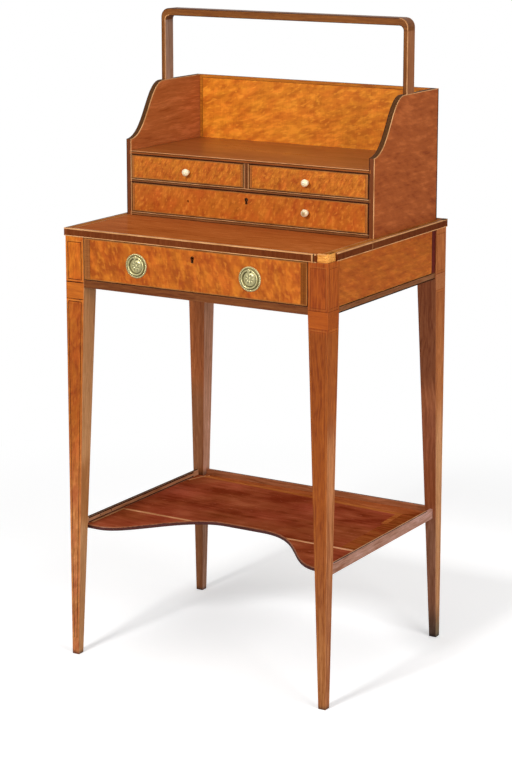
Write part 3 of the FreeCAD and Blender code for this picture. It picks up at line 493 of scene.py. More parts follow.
# Options that several finishes share.
LEG = {"streak": (3, 170), "strength": 1.2, "pores": 0.35}
COLLAR = {"streak": (4, 40), "depth": 0.6}
UNDERSHELF = {"streak": (6, 90), "gloss": 0.5, "specular": 0.0}
RAIL = {"streak": (3, 90), "strength": 1.3, "pores": 0.4}
HANDLE = {"streak": (3, 180), "pores": 0.35}
CROSSBAND = {"streak": (2.5, 40), "strength": 0.8, "pores": 0.2}
WAXED_BAND = {"streak": (2.5, 12), "pores": 0.2, "specular": 0.0, "coat": 0.06}
BARE_OAK = {"streak": (3, 200), "pores": 0.6, "gloss": 0.62, "specular": 0.2}
# Tints by height that several legs share: the tip of the foot darker, a foot darker towards the floor, and a
# painted shadow on the leg where the shelf rail meets it, which the first of the two rail tints lays below
# 236 mm and the second lifts again below 211 mm.
LEG_TIP = (2, 11, (0.30, 0.36, 0.55))
DARK_FOOT = (8, 75, (0.35, 0.50, 0.65))
RAIL_SHADOW = (221, 236, (0.3, 0.3, 0.3))
RAIL_SHADOW_FOOT = (211, 212, (3.3, 3.3, 3.3))

# How each finish is made: the function, the colour's name and the function's options.
FINISHES = {
    "frieze_satinwood": timber("frieze", "X", figure=(12, 24, -16, 0.7), ripple=0.08, strength=1.6,
                               depth=0.75, pores=0.1, seed=0.31, hue=0.4, flecks=0.45),
    "small_satinwood": timber("small_fronts", "X", figure=(5, 13, 28, 0.6), ripple=0.08, strength=1.5,
                              depth=0.8, pores=0.12, seed=0.83, hue=0.5, flecks=0.5),
    "long_satinwood": timber("long_front", "X", figure=(9, 20, 24, 0.6), ripple=0.08, strength=1.25,
                             depth=0.7, pores=0.12, seed=1.57, hue=0.5, flecks=0.5),
    "golden_satinwood": timber("stage_back", "X", figure=(34, 12, -16, 0.7), ripple=0.1, strength=1.4,
                               depth=0.62, pores=0.05, seed=2.11, hue=0.35, flecks=0.35),
    "top_veneer": timber("top", "X", streak=(3.5, 130), figure=(40, 12, 6, 0.2), strength=1.3,
                         depth=0.8, pores=0.4, gloss=0.24, specular=0.0, coat=0.06),
    "apron_veneer": timber("aprons", "Y", streak=(5, 90), figure=(30, 7, 12, 0.45), strength=1.4,
                           depth=0.8, pores=0.2, hue=0.3),
    "back_veneer": timber("aprons", "X", streak=(6, 120), figure=(36, 10, 12, 0.4), pores=0.25),
    # Leg tints that pale the wood and raise its blue towards the floor paint the reflection of the bright
    # floor in the polish.
    "bright_leg": timber("leg_bright", "Z", streak=(4, 110), figure=(22, 9, 14, 0.42), strength=1.6,
                         depth=0.8, pores=0.25, hue=0.4, flecks=0.25, ageing=(
                             (600, 606, (0.74, 0.70, 0.86)), (150, 430, (1.3, 1.9, 6.5)), LEG_TIP)),
    "khaki_leg": timber("leg_khaki", "Z", streak=(4, 160), depth=0.7, ageing=(
        (320, 350, (0.80, 0.70, 0.60)), (220, 250, (1.25, 1.43, 1.67)), LEG_TIP)),
    "red_leg": timber("leg_red", "Z", LEG, figure=(30, 10, 8, 0.2), strength=1.4, ageing=(
        (600, 606, (0.82, 0.90, 1.0)), (40, 330, (1.38, 2.3, 8.0)), LEG_TIP)),
    "red_leg_side": timber("leg_red_side", "Z", LEG, strength=1.3, ageing=(
        (600, 606, (0.81, 0.86, 1.1)), (425, 490, (1.2, 1.7, 4.5)), LEG_TIP)),
    "brown_leg": timber("leg_brown", "Z", LEG, streak=(4, 200), ageing=(
        (600, 606, (1.0, 0.85, 0.65)), (350, 420, (0.7, 0.85, 1.15)), RAIL_SHADOW, RAIL_SHADOW_FOOT, LEG_TIP)),
    "grey_leg": timber("leg_grey", "Z", LEG, streak=(4, 200), ageing=(RAIL_SHADOW, RAIL_SHADOW_FOOT, LEG_TIP)),
    "dark_leg": timber("leg_dark", "Z", LEG, ageing=(
        (380, 430, (0.68, 0.62, 0.65)), (185, 240, (1.45, 2.0, 2.8)), DARK_FOOT, LEG_TIP)),
    "faded_leg": timber("leg_faded", "Z", LEG, ageing=(
        (600, 606, (0.87, 0.85, 0.82)), (300, 440, (1.35, 1.95, 3.0)), DARK_FOOT, LEG_TIP)),
    "side_mahogany": timber("carcase", "Y", streak=(5, 90), figure=(34, 10, 12, 0.45), strength=1.3,
                            depth=0.9),
    "inner_mahogany": timber("side_inner", "Y", streak=(5, 90), strength=1.2),
    "edge_mahogany": timber("edge", "Z", streak=(3, 120)),
    "dark_edge": timber("dark_edge", "Y", streak=(3, 120), gloss=0.5, specular=0.03),
    "shelf_mahogany": timber("shelf", "X", streak=(7, 260), gloss=0.3),
    "under_mahogany": timber("undershelf", "X", UNDERSHELF, streak=(7, 90), figure=(90, 60, 4, 0.5),
                             strength=1.7, scuffs=0.8, hue=0.5),
    "under_edge": timber("under_edge", "X", streak=(3, 90), gloss=0.5, specular=0.1),
    "under_border": timber("under_border", "X", UNDERSHELF, strength=1.4, scuffs=0.4),
    "under_right": timber("under_right", "X", UNDERSHELF, strength=1.6, scuffs=0.4, hue=0.5),
    "under_line": timber("under_line", "X", UNDERSHELF, streak=(3, 60), strength=1.6, pores=0.1),
    "under_gold": timber("under_gold", "X", UNDERSHELF, streak=(3, 60), strength=1.5, pores=0.1),
    "rail_mahogany_x": timber("rails", "X", RAIL),
    "rail_mahogany_y": timber("rails", "Y", RAIL),
    "left_rail": timber("left_rail", "Y", RAIL),
    "faded_rail": timber("faded_rail", "Y", RAIL, streak=(3, 60), strength=1.5),
    "front_rail": timber("front_rail", "X", RAIL, streak=(3, 150), strength=1.2),
    "stage_rails": timber("stage_rail", "X", streak=(3, 150), pores=0.4),
    "handle_mahogany_x": timber("handle", "X", HANDLE),
    "handle_mahogany_z": timber("handle", "Z", HANDLE),
    "handle_side": timber("handle_side", "Z", HANDLE),
    "handle_inner": timber("handle_inner", "Z", HANDLE),
    "dark_edging": timber("edging", "Z", streak=(6, 40), strength=0.8, pores=0.2, specular=0.05),
    "end_band": timber("end_band", "Y", streak=(3, 60), strength=0.8, pores=0.2),
    "apron_band": timber("apron_band", "Y", streak=(3, 60), strength=1.3),
    "banding_x": timber("banding", "X", CROSSBAND),
    "banding_dark": timber("banding_dark", "X", CROSSBAND),
    "quiet_band": timber("quiet_band", "X", CROSSBAND),
    "gold_band_x": timber("gold_banding", "X", CROSSBAND, strength=1.2),
    "right_banding": timber("right_banding", "X", WAXED_BAND, strength=1.7),
    "top_banding": timber("top_banding", "X", WAXED_BAND, strength=1.4),
    "bare_wood": timber("raw", "X", streak=(2, 16), strength=1.6, gloss=0.7, specular=0.1),
    "bare_oak_x": timber("oak", "X", BARE_OAK),
    "bare_oak_y": timber("oak", "Y", BARE_OAK),
    "collar_bright": timber("collar", "X", COLLAR, strength=1.1, depth=0.7, pores=0.2),
    "collar_red": timber("leg_red", "X", COLLAR),
    "collar_brown": timber("leg_brown", "X", COLLAR),
    "leg_string": (string_wood, "leg_line", {"gloss": 0.38}),
    "soft_string": (string_wood, "soft_line", {"gloss": 0.38}),
    "soft_dark_string": (string_wood, "soft_dark", {"gloss": 0.4}),
    "khaki_string": (string_wood, "khaki_line", {"gloss": 0.38}),
    "boxwood_string": (string_wood, "boxwood", {"gloss": 0.36}),
    "dyed_string": (string_wood, "dyed", {"gloss": 0.4}),
    "stamped_brass": (stamped_brass, "brass", {}),
    # Keyhole brass painted nearly black as the shade in the hole.
    "dull_brass": (stamped_brass, "keyhole_brass_in_shade", {}),
    "turned_bone": (turned_bone, "bone", {}),
    "filed_iron": (filed_iron, "iron", {}),
}
_made = {}


def finish(name):
    """The material of that name, made when it is first asked for."""
    if name not in _made:
        maker, colour_name, options = FINISHES[name]
        _made[name] = maker(name, tuple(getattr(setting("colours"), colour_name)), **options)
    return _made[name]


# ------------------------------------------------------------------ meshes
# An arris that turns by more than this, and is longer than this, has been rubbed.
SHARP_TURN = math.radians(35)
SHORTEST_ARRIS = 2 * MM


def place_piece(mesh, name, body, material, nodes=(), smooth=False):
    """Object for a finished mesh that rides on a body and stands for nodes of the frame."""
    mesh.materials.clear()
    mesh.materials.append(finish(material))
    mesh.polygons.foreach_set("use_smooth", np.full(len(mesh.polygons), smooth))
    piece = bpy.data.objects.new(name, mesh)
    bpy.context.scene.collection.objects.link(piece)
    if nodes:
        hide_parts(*nodes)
    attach(piece, body)


def vectors(items, name):
    """A vector of each item of a mesh, such as the place of each vertex, as the rows of an array."""
    values = np.empty(3 * len(items))
    items.foreach_get(name, values)
    return values.reshape(-1, 3)


def eased(node, material, arris_width=None, sides=()):
    """Show a wooden node by a copy whose arrises are rubbed round and whose faces have shrunk a
    hair, so that inlay let in at the node's own faces stands just proud. The attribute worn is 1
    on the rubbed arrises. sides names other finishes, each for the faces whose normal along a
    direction is more than so much."""
    source = frame["nodes"][node]
    work = bmesh.new()
    work.from_mesh(source.data)
    bmesh.ops.remove_doubles(work, verts=work.verts, dist=0.001 * MM)
    bmesh.ops.dissolve_limit(work, angle_limit=math.radians(0.3), verts=work.verts, edges=work.edges)
    worn = work.faces.layers.float.new("worn")
    sharp = [edge for edge in work.edges if len(edge.link_faces) == 2 and edge.is_convex
             and edge.calc_face_angle(0) > SHARP_TURN and edge.calc_length() > SHORTEST_ARRIS]
    width = setting("wear").arris if arris_width is None else arris_width
    cut = bmesh.ops.bevel(work, geom=sharp, offset=width, offset_type="OFFSET", segments=2,
                          profile=0.5, affect="EDGES", clamp_overlap=True)
    for face in cut["faces"]:
        face[worn] = 1.0
    work.normal_update()
    stand = setting("inlay").stand
    for vertex in work.verts:
        vertex.co -= vertex.normal * stand
    mesh = bpy.data.meshes.new(node + "_polished")
    work.to_mesh(mesh)
    work.free()
    place_piece(mesh, node + "_polished", source["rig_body"], material, [node])
    normals = vectors(mesh.polygons, "normal")
    index = np.zeros(len(mesh.polygons), int)
    for number, (other, direction, least) in enumerate(sides, 1):
        mesh.materials.append(finish(other))
        index[normals @ direction > least] = number
    mesh.polygons.foreach_set("material_index", index)


def dress(nodes, material):
    """Give nodes that are shown as they are a finish."""
    for node in nodes:
        mesh = frame["nodes"][node].data
        mesh.materials.clear()
        mesh.materials.append(finish(material))


def closed_mesh(name, points, faces, hollow=None):
    """Mesh from points and faces, with doubled points merged and all faces outward. hollow
    gives each point how much dirt lies on it."""
    mesh = bpy.data.meshes.new(name)
    mesh.from_pydata(points.tolist(), [], faces)
    if hollow is not None:
        layer = mesh.attributes.new("hollow", "FLOAT", "POINT")
        layer.data.foreach_set("value", hollow.astype(np.float32))
    work = bmesh.new()
    work.from_mesh(mesh)
    bmesh.ops.remove_doubles(work, verts=work.verts, dist=0.0005 * MM)
    bmesh.ops.recalc_face_normals(work, faces=work.faces)
    work.to_mesh(mesh)
    work.free()
    return mesh


def joined(pieces):
    """Points and faces of several pieces as one."""
    starts = np.cumsum([0] + [len(piece[0]) for piece in pieces])
    faces = [[corner + start for corner in face]
             for piece, start in zip(pieces, starts) for face in piece[1]]
    return np.vstack([piece[0] for piece in pieces]), faces


def let_in(name, pieces, body, material):
    """One mesh of all the lines or bands of one wood on one body."""
    place_piece(closed_mesh(name, *joined(pieces)), name, body, material)


def ring_quads(rings, around, closed):
    """Corner numbers of the quads between rings of points, each ring closed on itself."""
    i, j = np.meshgrid(np.arange(rings if closed else rings - 1), np.arange(around), indexing="ij")
    after = (i + 1) % rings
    beside = (j + 1) % around
    quads = np.stack([i * around + j, i * around + beside, after * around + beside, after * around + j], -1)
    return quads.reshape(-1, 4).tolist()


def carried(path, normal, section, closed=False):
    """Section carried along a path with mitred corners. Point (i, j) is path[i] + a[j] times the
    side at i + b[j] times the normal: the side is the sum of the sides of the two runs that meet
    there, over 1 plus their dot product, so that each run keeps its width."""
    path = np.asarray(path, float)
    section = np.asarray(section, float)
    normal = np.broadcast_to(np.asarray(normal, float), path.shape)
    runs = np.roll(path, -1, 0) - path
    if not closed:
        runs[-1] = runs[-2]
    runs /= np.linalg.norm(runs, axis=1, keepdims=True)
    side = np.cross(runs, normal)
    before = np.roll(side, 1, 0)
    if not closed:
        before[0] = side[0]
    mitre = (before + side) / (1 + np.sum(before * side, 1, keepdims=True))
    points = (path[:, None] + section[None, :, :1] * mitre[:, None]
              + section[None, :, 1:] * normal[:, None])
    rings, around = points.shape[:2]
    faces = ring_quads(rings, around, closed)
    if not closed:
        faces.append(list(range(around)))
        faces.append(list(range((rings - 1) * around, rings * around)))
    return points.reshape(-1, 3), faces


def arris(path, normal, free, width, rounding=0.3 * MM, closed=False):
    """String let into an arris along a path: square, with its outer corner rounded. normal
    points out of one face, and free points out of the other face on the first run."""
    path = np.asarray(path, float)
    turn = np.linspace(0, math.pi / 2, 4)
    corner = np.stack([np.sin(turn), np.cos(turn)], 1) * rounding - rounding
    section = np.vstack([[(-width, 0)], corner, [(0, -width)], [(-width, -width)]])
    hand = math.copysign(1, np.dot(np.cross(path[1] - path[0], normal), free))
    return carried(path, normal, section * (hand, 1), closed)


# Planes that inlay lies in: the axes of its two coordinates, and its outward normal.
FRONT = (0, 2, (0, -1, 0))
REAR = (0, 2, (0, 1, 0))
RIGHT = (1, 2, (1, 0, 0))
LEFT = (1, 2, (-1, 0, 0))
ABOVE = (0, 1, (0, 0, 1))
# Inlay that crosses other inlay lies this much higher, so that the two don't flicker.
ABOVE_VENEER = 0.03 * MM


def on_plane(plane, level, pairs):
    """Points in a plane at a level, from pairs of its two coordinates."""
    points = np.full((len(pairs), 3), level, float)
    points[:, plane[:2]] = pairs
    return points


def line_on(plane, level, pairs, width, closed=False):
    """String line through pairs of coordinates on a plane: its top is level with the face."""
    depth = setting("inlay").veneer
    section = [(-width / 2, 0), (width / 2, 0), (width / 2, -depth), (-width / 2, -depth)]
    return carried(on_plane(plane, level, pairs), plane[2], section, closed)


def upright(plane, level, place, low, high, width):
    """String line at one first coordinate of a plane, between two second coordinates."""
    return line_on(plane, level, [(place, low), (place, high)], width)


def corners(a0, a1, b0, b1):
    """Four corners of a rectangle, in order."""
    return [(a0, b0), (a1, b0), (a1, b1), (a0, b1)]


def inset_quad(quad, distance):
    """Corners of a convex quadrilateral with each side moved inwards: where the moved sides
    meet. The corners go round from low-low towards high in the first coordinate."""
    quad = np.asarray(quad, float)
    ahead = np.roll(quad, -1, 0) - quad
    ahead /= np.linalg.norm(ahead, axis=1, keepdims=True)
    turn = np.sign(ahead[0, 0] * ahead[1, 1] - ahead[0, 1] * ahead[1, 0])
    inward = np.stack([-ahead[:, 1], ahead[:, 0]], 1) * turn
    before = np.roll(inward, 1, 0)
    return quad + distance * (before + inward) / (1 + np.sum(before * inward, 1, keepdims=True))


def band_on(plane, level, a0, a1, b0, b1):
    """Rectangle of veneer let into a plane, as the points and faces of a block."""
    first, second, normal = plane
    axis = 3 - first - second
    inner = level - setting("inlay").veneer * normal[axis]
    reach = [None] * 3
    reach[first] = sorted((a0, a1))
    reach[second] = (b0, b1)
    reach[axis] = sorted((level, inner))
    points = np.stack(np.meshgrid(*reach, indexing="ij"), -1).reshape(-1, 3)
    faces = [[0, 1, 3, 2], [4, 6, 7, 5], [0, 4, 5, 1], [2, 3, 7, 6], [0, 2, 6, 4], [1, 5, 7, 3]]
    return points, faces


def slab(ring, level):
    """Veneer inside four corners on a level face, carried down by the depth of the veneer."""
    ring = np.asarray(ring, float)
    upper = np.column_stack([ring, np.full(4, level)])
    lower = np.column_stack([ring, np.full(4, level - setting("inlay").veneer)])
    faces = [[0, 1, 2, 3], [4, 5, 6, 7]] + [[i, (i + 1) % 4, 4 + (i + 1) % 4, 4 + i] for i in range(4)]
    return np.vstack([upper, lower]), faces


class BuildOperator:
    """Shared by the operators: execute makes the piece and reports that it is finished."""
    bl_options = {"REGISTER", "UNDO"}

    def execute(self, context):
        self.make()
        return {"FINISHED"}


# ------------------------------------------------------------------ the table
# Heights on a leg: the top and the foot of its collar, and the foot of its long panel.
COLLAR_TOP = 633.5 * MM
COLLAR_LOW = 606 * MM
PANEL_END = 24 * MM
# Gap over the panel on the block, width of a leg at the floor, and how far a panel's dark line
# lies inside its light one.
BLOCK_TOP_GAP = 4.6 * MM
FOOT = 13 * MM
LINE_PITCH = 1.9 * MM
# Width of the upright band at the back end of a side apron.
END_BAND = 13 * MM
# Finish of each leg, of its side that looks to the right, and of its collar. On the back legs the front is
# darker than that side: painted shade from the table and the shelf.
LEGS = {
    "front_left": ("bright_leg", "khaki_leg", "collar_bright"),
    "front_right": ("red_leg", "red_leg_side", "collar_red"),
    "back_left": ("brown_leg", "grey_leg", "collar_brown"),
    "back_right": ("dark_leg", "faded_leg", "collar_brown"),
}


def leg_lines(node, strong):
    """Stringing on the two outer faces of a leg, as light lines, dark lines and collars: a panel
    on the square block, a cross-grained collar, and a long panel that narrows with the taper and
    is open at the foot. The lines of a strong leg are wider."""
    low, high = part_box(node)
    frieze_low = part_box("apron_left")[0].z
    outer_x = high.x if high.x > 0 else low.x
    outer_y = high.y if high.y > 0 else low.y
    size = high.x - low.x
    inset = setting("inlay").leg_inset
    light, dark, collars = [], [], []
    for plane, level, edge in ((RIGHT if outer_x > 0 else LEFT, outer_x, outer_y),
                               (FRONT if outer_y < 0 else REAR, outer_y, outer_x)):
        inward = -math.copysign(1, edge)

        def across(z, near=0.0, far=0.0):
            # Ends of a line across the face at a height, so far in from the two arrises.
            width = size if z > frieze_low else FOOT + (size - FOOT) * z / frieze_low
            return [(edge + inward * near, z), (edge + inward * (width - far), z)]

        block = across(COLLAR_TOP) + across(high.z - BLOCK_TOP_GAP)[::-1]
        panel = across(PANEL_END) + across(COLLAR_LOW)[::-1]
        for lines, distance, width in ((light, inset, 0.6 * MM),
                                       (dark, inset + LINE_PITCH, (0.9 if strong else 0.6) * MM)):
            lines.append(line_on(plane, level, inset_quad(block, distance), width, closed=True))
            lines.append(line_on(plane, level, inset_quad(panel, distance)[[0, 3, 2, 1]], width))
        for z, width in ((COLLAR_TOP, 1.6 * MM), (COLLAR_LOW, 1.0 * MM)):
            dark.append(line_on(plane, level, across(z, 0.5 * MM, 0.5 * MM),
                                width * (1 if strong else 0.6)))
        start, end = across(COLLAR_LOW, 0.4 * MM, 0.6 * MM)
        collars.append(band_on(plane, level, start[0], end[0], COLLAR_LOW + 0.7 * MM,
                               COLLAR_TOP - 0.7 * MM))
    return light, dark, collars


class BONHEUR_OT_legs(BuildOperator, bpy.types.Operator):
    """Four tapered legs with string panels and cross-grained collars"""
    bl_idname = "bonheur.legs"
    bl_label = "Legs"

    def make(self):
        for corner, (front, side, _) in LEGS.items():
            eased("leg_" + corner, front, sides=[(side, (1, 0, 0), 0.7)])
        soft_light, soft_dark = [], []
        for corner, (_, _, collar) in LEGS.items():
            strong = corner == "front_left"
            light, dark, collars = leg_lines("leg_" + corner, strong)
            if strong:
                let_in("leg_stringing_light", light, "table", "leg_string")
                let_in("leg_stringing_dark", dark, "table", "dyed_string")
            else:
                soft_light += light
                soft_dark += dark
            let_in("leg_collar_" + corner, collars, "table", collar)
        let_in("leg_stringing_soft_light", soft_light, "table", "soft_string")
        let_in("leg_stringing_soft_dark", soft_dark, "table", "soft_dark_string")


class BONHEUR_OT_frieze(BuildOperator, bpy.types.Operator):
    """Aprons with dark bands, the front rail, and the hidden rail and runners"""
    bl_idname = "bonheur.frieze"
    bl_label = "Frieze"

    def make(self):
        eased("apron_left", "apron_veneer")
        eased("apron_right", "apron_veneer")
        eased("apron_back", "back_veneer")
        eased("front_rail_lower", "front_rail")
        dress(["front_rail_upper"], "bare_oak_x")
        dress(["drawer_runners"], "bare_oak_y")
        leg_low, leg_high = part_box("leg_front_right")
        inner_x, inner_y = leg_low.x, -leg_high.y
        low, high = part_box("apron_right")
        foot = low.z + setting("inlay").apron_band
        end = inner_y - END_BAND
        foot_bands, end_bands, light, dark = [], [], [], []
        for plane, level in ((RIGHT, high.x), (LEFT, -high.x)):
            foot_bands.append(band_on(plane, level, -inner_y, inner_y, low.z, foot))
            end_bands.append(band_on(plane, level, end, inner_y, foot, high.z))
            light.append(line_on(plane, level, [(-inner_y, foot), (end, foot), (end, high.z)], 0.8 * MM))
            # Dark lines lie along both sides of the band.
            for z, width in ((low.z + 0.9 * MM, 1.6 * MM), (foot - 1.1 * MM, 1.0 * MM)):
                dark.append(line_on(plane, level, [(-inner_y, z), (inner_y, z)], width))
        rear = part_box("apron_back")[1].y
        foot_bands.append(band_on(REAR, rear, -inner_x, inner_x, low.z, foot))
        light.append(line_on(REAR, rear, [(-inner_x, foot), (inner_x, foot)], 0.8 * MM))
        let_in("apron_foot_bands", foot_bands, "table", "apron_band")
        let_in("apron_end_bands", end_bands, "table", "end_band")
        let_in("apron_stringing", light, "table", "leg_string")
        let_in("apron_stringing_dark", dark, "table", "dyed_string")


class BONHEUR_OT_top(BuildOperator, bpy.types.Operator):
    """Table top with its crossbands, edging between light lines and the bare corner"""
    bl_idname = "bonheur.top"
    bl_label = "Table top"

    def make(self):
        low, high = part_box("table_top")
        eased("table_top", "top_veneer")
        for side in ("front", "back", "left", "right"):
            eased("edging_" + side, "dark_edging", 0.3 * MM)
        light, dark = self.edge_lines(low, high)
        light += self.crossbands(low, high)
        self.marks(high, light, dark)
        let_in("top_dark_marks", dark, "table", "dark_edge")
        start = (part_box("edging_front")[1].x, low.y)
        end = (high.x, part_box("edging_right")[0].y)
        corner = self.bare_corner(start, end, high.z, high.z - low.z)
        let_in("top_bare_corner", [corner], "table", "bare_wood")
        let_in("top_stringing", light, "table", "boxwood_string")

    def edge_lines(self, low, high):
        """Light lines on both arrises of the edging and inside it, and the upper line at the
        left, which is dark."""
        front_low, front_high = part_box("edging_front")
        side_low, side_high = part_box("edging_right")
        left, right, front, back = front_low.x, side_high.x, front_low.y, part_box("edging_back")[1].y
        upper, lower, rounding = 1.8 * MM, 1.3 * MM, 0.25 * MM
        loop = [(front_high.x, front), (left, front), (left, back), (right, back), (right, side_low.y)]
        left_run = [(left, front + upper), (left, back - upper)]
        inner = [(high.x - 2 * MM, low.y), (-high.x, low.y), (-high.x, high.y), (high.x, high.y),
                 (high.x, side_low.y)]
        light = [arris(on_plane(ABOVE, low.z, loop), (0, 0, -1), (0, -1, 0), lower, rounding),
                 arris(on_plane(ABOVE, high.z, loop[:2]), (0, 0, 1), (0, -1, 0), upper, rounding),
                 arris(on_plane(ABOVE, high.z, loop[2:]), (0, 0, 1), (0, 1, 0), upper, rounding),
                 line_on(ABOVE, high.z, inner, 1.0 * MM)]
        return light, [arris(on_plane(ABOVE, high.z, left_run), (0, 0, 1), (-1, 0, 0), upper, rounding)]

    def crossbands(self, low, high):
        """Crossband along each side of the top, and the light lines inside them."""
        margin = 0.6 * MM
        end = high.y - margin
        light = []
        for side, hand, start, material in (("left", -1, low.y + margin, "top_banding"),
                                            ("right", 1, low.y + 8 * MM, "right_banding")):
            inside = hand * (high.x - setting("inlay").top_band)
            strip = band_on(ABOVE, high.z, hand * (high.x - margin), inside, start, end)
            let_in("top_crossband_" + side, [strip], "table", material)
            light.append(upright(ABOVE, high.z, inside, start, end, 1.1 * MM))
        return light

    def marks(self, high, light, dark):
        """Marks of age: a joint in the right edging, a pale splinter and a dark joint where the
        front edging ends, and a dark tip at the back."""
        front_low, front_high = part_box("edging_front")
        side_low, side_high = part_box("edging_right")
        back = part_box("edging_back")[1].y
        light.append(upright(RIGHT, side_high.x, -60 * MM, side_low.z + 0.8 * MM,
                             side_high.z - 0.8 * MM, 0.7 * MM))
        light.append(upright(FRONT, front_low.y, 215 * MM, front_low.z + 1.5 * MM,
                             front_high.z - 2 * MM, 2.4 * MM))
        dark.append(slab(corners(high.x - 3 * MM, side_high.x, back - 16 * MM, back), high.z + 0.02 * MM))
        dark.append(upright(FRONT, front_low.y, 218 * MM, front_low.z + 0.5 * MM, front_high.z, 1.5 * MM))

    def bare_corner(self, start, end, level, thick):
        """Bare wood round the front right corner, over the edge of the board and a few
        millimetres of its top. The inner line wanders by three waves along the corner."""
        radius, deep, wide = 7 * MM, 0.7 * MM, 4 * MM
        foot = -thick + 0.1 * MM
        turn = np.linspace(0, math.pi / 2, 9)
        arc = np.stack([end[0] - radius + radius * np.sin(turn),
                        start[1] + radius - radius * np.cos(turn)], 1)
        path = np.vstack([np.linspace(start, arc[0], 12)[:-1], arc, np.linspace(arc[-1], end, 16)[1:]])
        section = np.array([(0, 0), (0, foot), (-deep, foot), (-deep, -deep), (-wide, -deep), (-wide, 0)])
        points, faces = carried(on_plane(ABOVE, level, path), (0, 0, 1), section)
        points = points.reshape(len(path), 6, 3)
        along = np.linspace(0, 1, len(path))
        wander = 0.35 * np.sin(9 * along) + 0.3 * np.sin(23 * along + 1) + 0.2 * np.sin(51 * along + 2)
        inward = points[:, 5] - points[:, 0]
        points[:, 4:] += (inward * wander[:, None])[:, None]
        return points.reshape(-1, 3), faces


# Middle and width of the pale strip across the undershelf, and the end of the lines on its rails.
STRIP_Y = -64 * MM
STRIP_WIDTH = 6.4 * MM
RAIL_END = 160 * MM


class BONHEUR_OT_undershelf(BuildOperator, bpy.types.Operator):
    """Undershelf with its shaped front, crossband and low rails"""
    bl_idname = "bonheur.undershelf"
    bl_label = "Undershelf"

    def make(self):
        # Painted highlight: faces of the nosing that look up and forward take the lighter rail wood, as a
        # pale line along the upper arris.
        eased("undershelf", "under_mahogany", 0.6 * MM, [
            ("under_edge", (0, -1, 0), -0.2),
            ("rail_mahogany_x", (0, -0.5, 0.87), 0.75), ("under_mahogany", (0, 0, 1), 0.98)])
        eased("shelf_rail_left", "rail_mahogany_y", 0.5 * MM, [
            ("left_rail", (1, 0, 0), 0.7), ("dark_edge", (0, 0, 1), 0.6)])
        # The right rail's paler, greyer finish is painted sheen.
        eased("shelf_rail_right", "faded_rail", 0.5 * MM)
        eased("shelf_rail_back", "rail_mahogany_x", 0.5 * MM)
        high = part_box("undershelf")[1]
        self.borders(high)
        self.pale_strip(high)
        let_in("undershelf_stringing_light", self.light_lines(high), "table", "boxwood_string")
        let_in("undershelf_stringing_dark", self.dark_lines(high), "table", "dyed_string")

    def borders(self, high):
        """Brighter wood along the right and the back, and the golden line at its inner side,
        which runs out of square."""
        right, back = high.x - 0.2 * MM, high.y - 0.2 * MM
        inner = np.array([(190, -60), (190, 90), (187, 150), (-216, 175)]) * MM
        outer = np.array([(right, -60 * MM), (right, 90 * MM), (right, back), (-right, back)])
        border = [slab([outer[i], outer[i + 1], inner[i + 1], inner[i]], high.z) for i in range(3)]
        gold = line_on(ABOVE, high.z + ABOVE_VENEER, inner[1:], 10 * MM)
        let_in("undershelf_border_right", border[:2], "table", "under_right")
        let_in("undershelf_border_back", border[2:], "table", "under_border")
        let_in("undershelf_gold_line", [gold], "table", "under_gold")

    def pale_strip(self, high):
        """Pale strip across the two lobes: it ends where the curved front edge cuts it off, at
        the x of that edge worked out between its corners for both sides of the strip."""
        x, y, z = vectors(frame["nodes"]["undershelf"].data.vertices, "co").T
        curve = ((z > high.z - 0.01 * MM) & (x > 0) & (x < 150 * MM)
                 & (y < STRIP_Y + 20 * MM) & (y > STRIP_Y - 60 * MM))
        order = np.argsort(-y[curve])
        sides = np.array([STRIP_Y - STRIP_WIDTH / 2, STRIP_Y + STRIP_WIDTH / 2])
        near, far = np.interp(-sides, -y[curve][order], x[curve][order]) + 0.5 * MM
        strips = []
        for hand, inset in ((-1, 9 * MM), (1, 16 * MM)):
            end = hand * (high.x - inset)
            strips.append(slab([(end, sides[0]), (hand * near, sides[0]), (hand * far, sides[1]),
                                (end, sides[1])], high.z))
        let_in("undershelf_pale_strip", strips, "table", "under_line")

    def light_lines(self, high):
        """Light lines on the right rail, along the left of the shelf to the pale strip, and
        round the foot of the back left leg."""
        rail_low, rail_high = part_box("shelf_rail_right")
        edge = -(high.x - 3 * MM)
        level = high.z + ABOVE_VENEER
        strip = [(edge, -155 * MM), (edge, STRIP_Y), (-(high.x - 10 * MM), STRIP_Y)]
        foot = [(edge, 140 * MM), (-219 * MM, 172 * MM), (-212 * MM, 183 * MM)]
        return [upright(ABOVE, rail_high.z, rail_low.x + 1.1 * MM, -RAIL_END, RAIL_END, 2 * MM),
                line_on(ABOVE, level, strip, 3.2 * MM), line_on(ABOVE, level, foot, 3 * MM)]

    def dark_lines(self, high):
        """Dark lines on the right and back rails and on the inside of the left one, and two
        plugged nail holes there."""
        side_low, side_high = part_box("shelf_rail_right")
        back_low, back_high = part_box("shelf_rail_back")
        middle = (back_low.y + back_high.y) / 2
        dark = [upright(ABOVE, side_high.z, side_low.x + 3.3 * MM, -RAIL_END, RAIL_END, 2 * MM),
                line_on(ABOVE, back_high.z, [(-205 * MM, middle), (205 * MM, middle)], 2 * MM)]
        for z, width in ((back_high.z - 1.6 * MM, 2.2 * MM), (high.z + 1.2 * MM, 1.8 * MM)):
            dark.append(line_on(RIGHT, -high.x, [(-RAIL_END, z), (RAIL_END, z)], width))
        hole, hole_z = 2.2 * MM, high.z + 5 * MM
        for y in (-128 * MM, -96 * MM):
            dark.append(line_on(RIGHT, -high.x, [(y, hole_z), (y + hole, hole_z)], hole))
        return dark


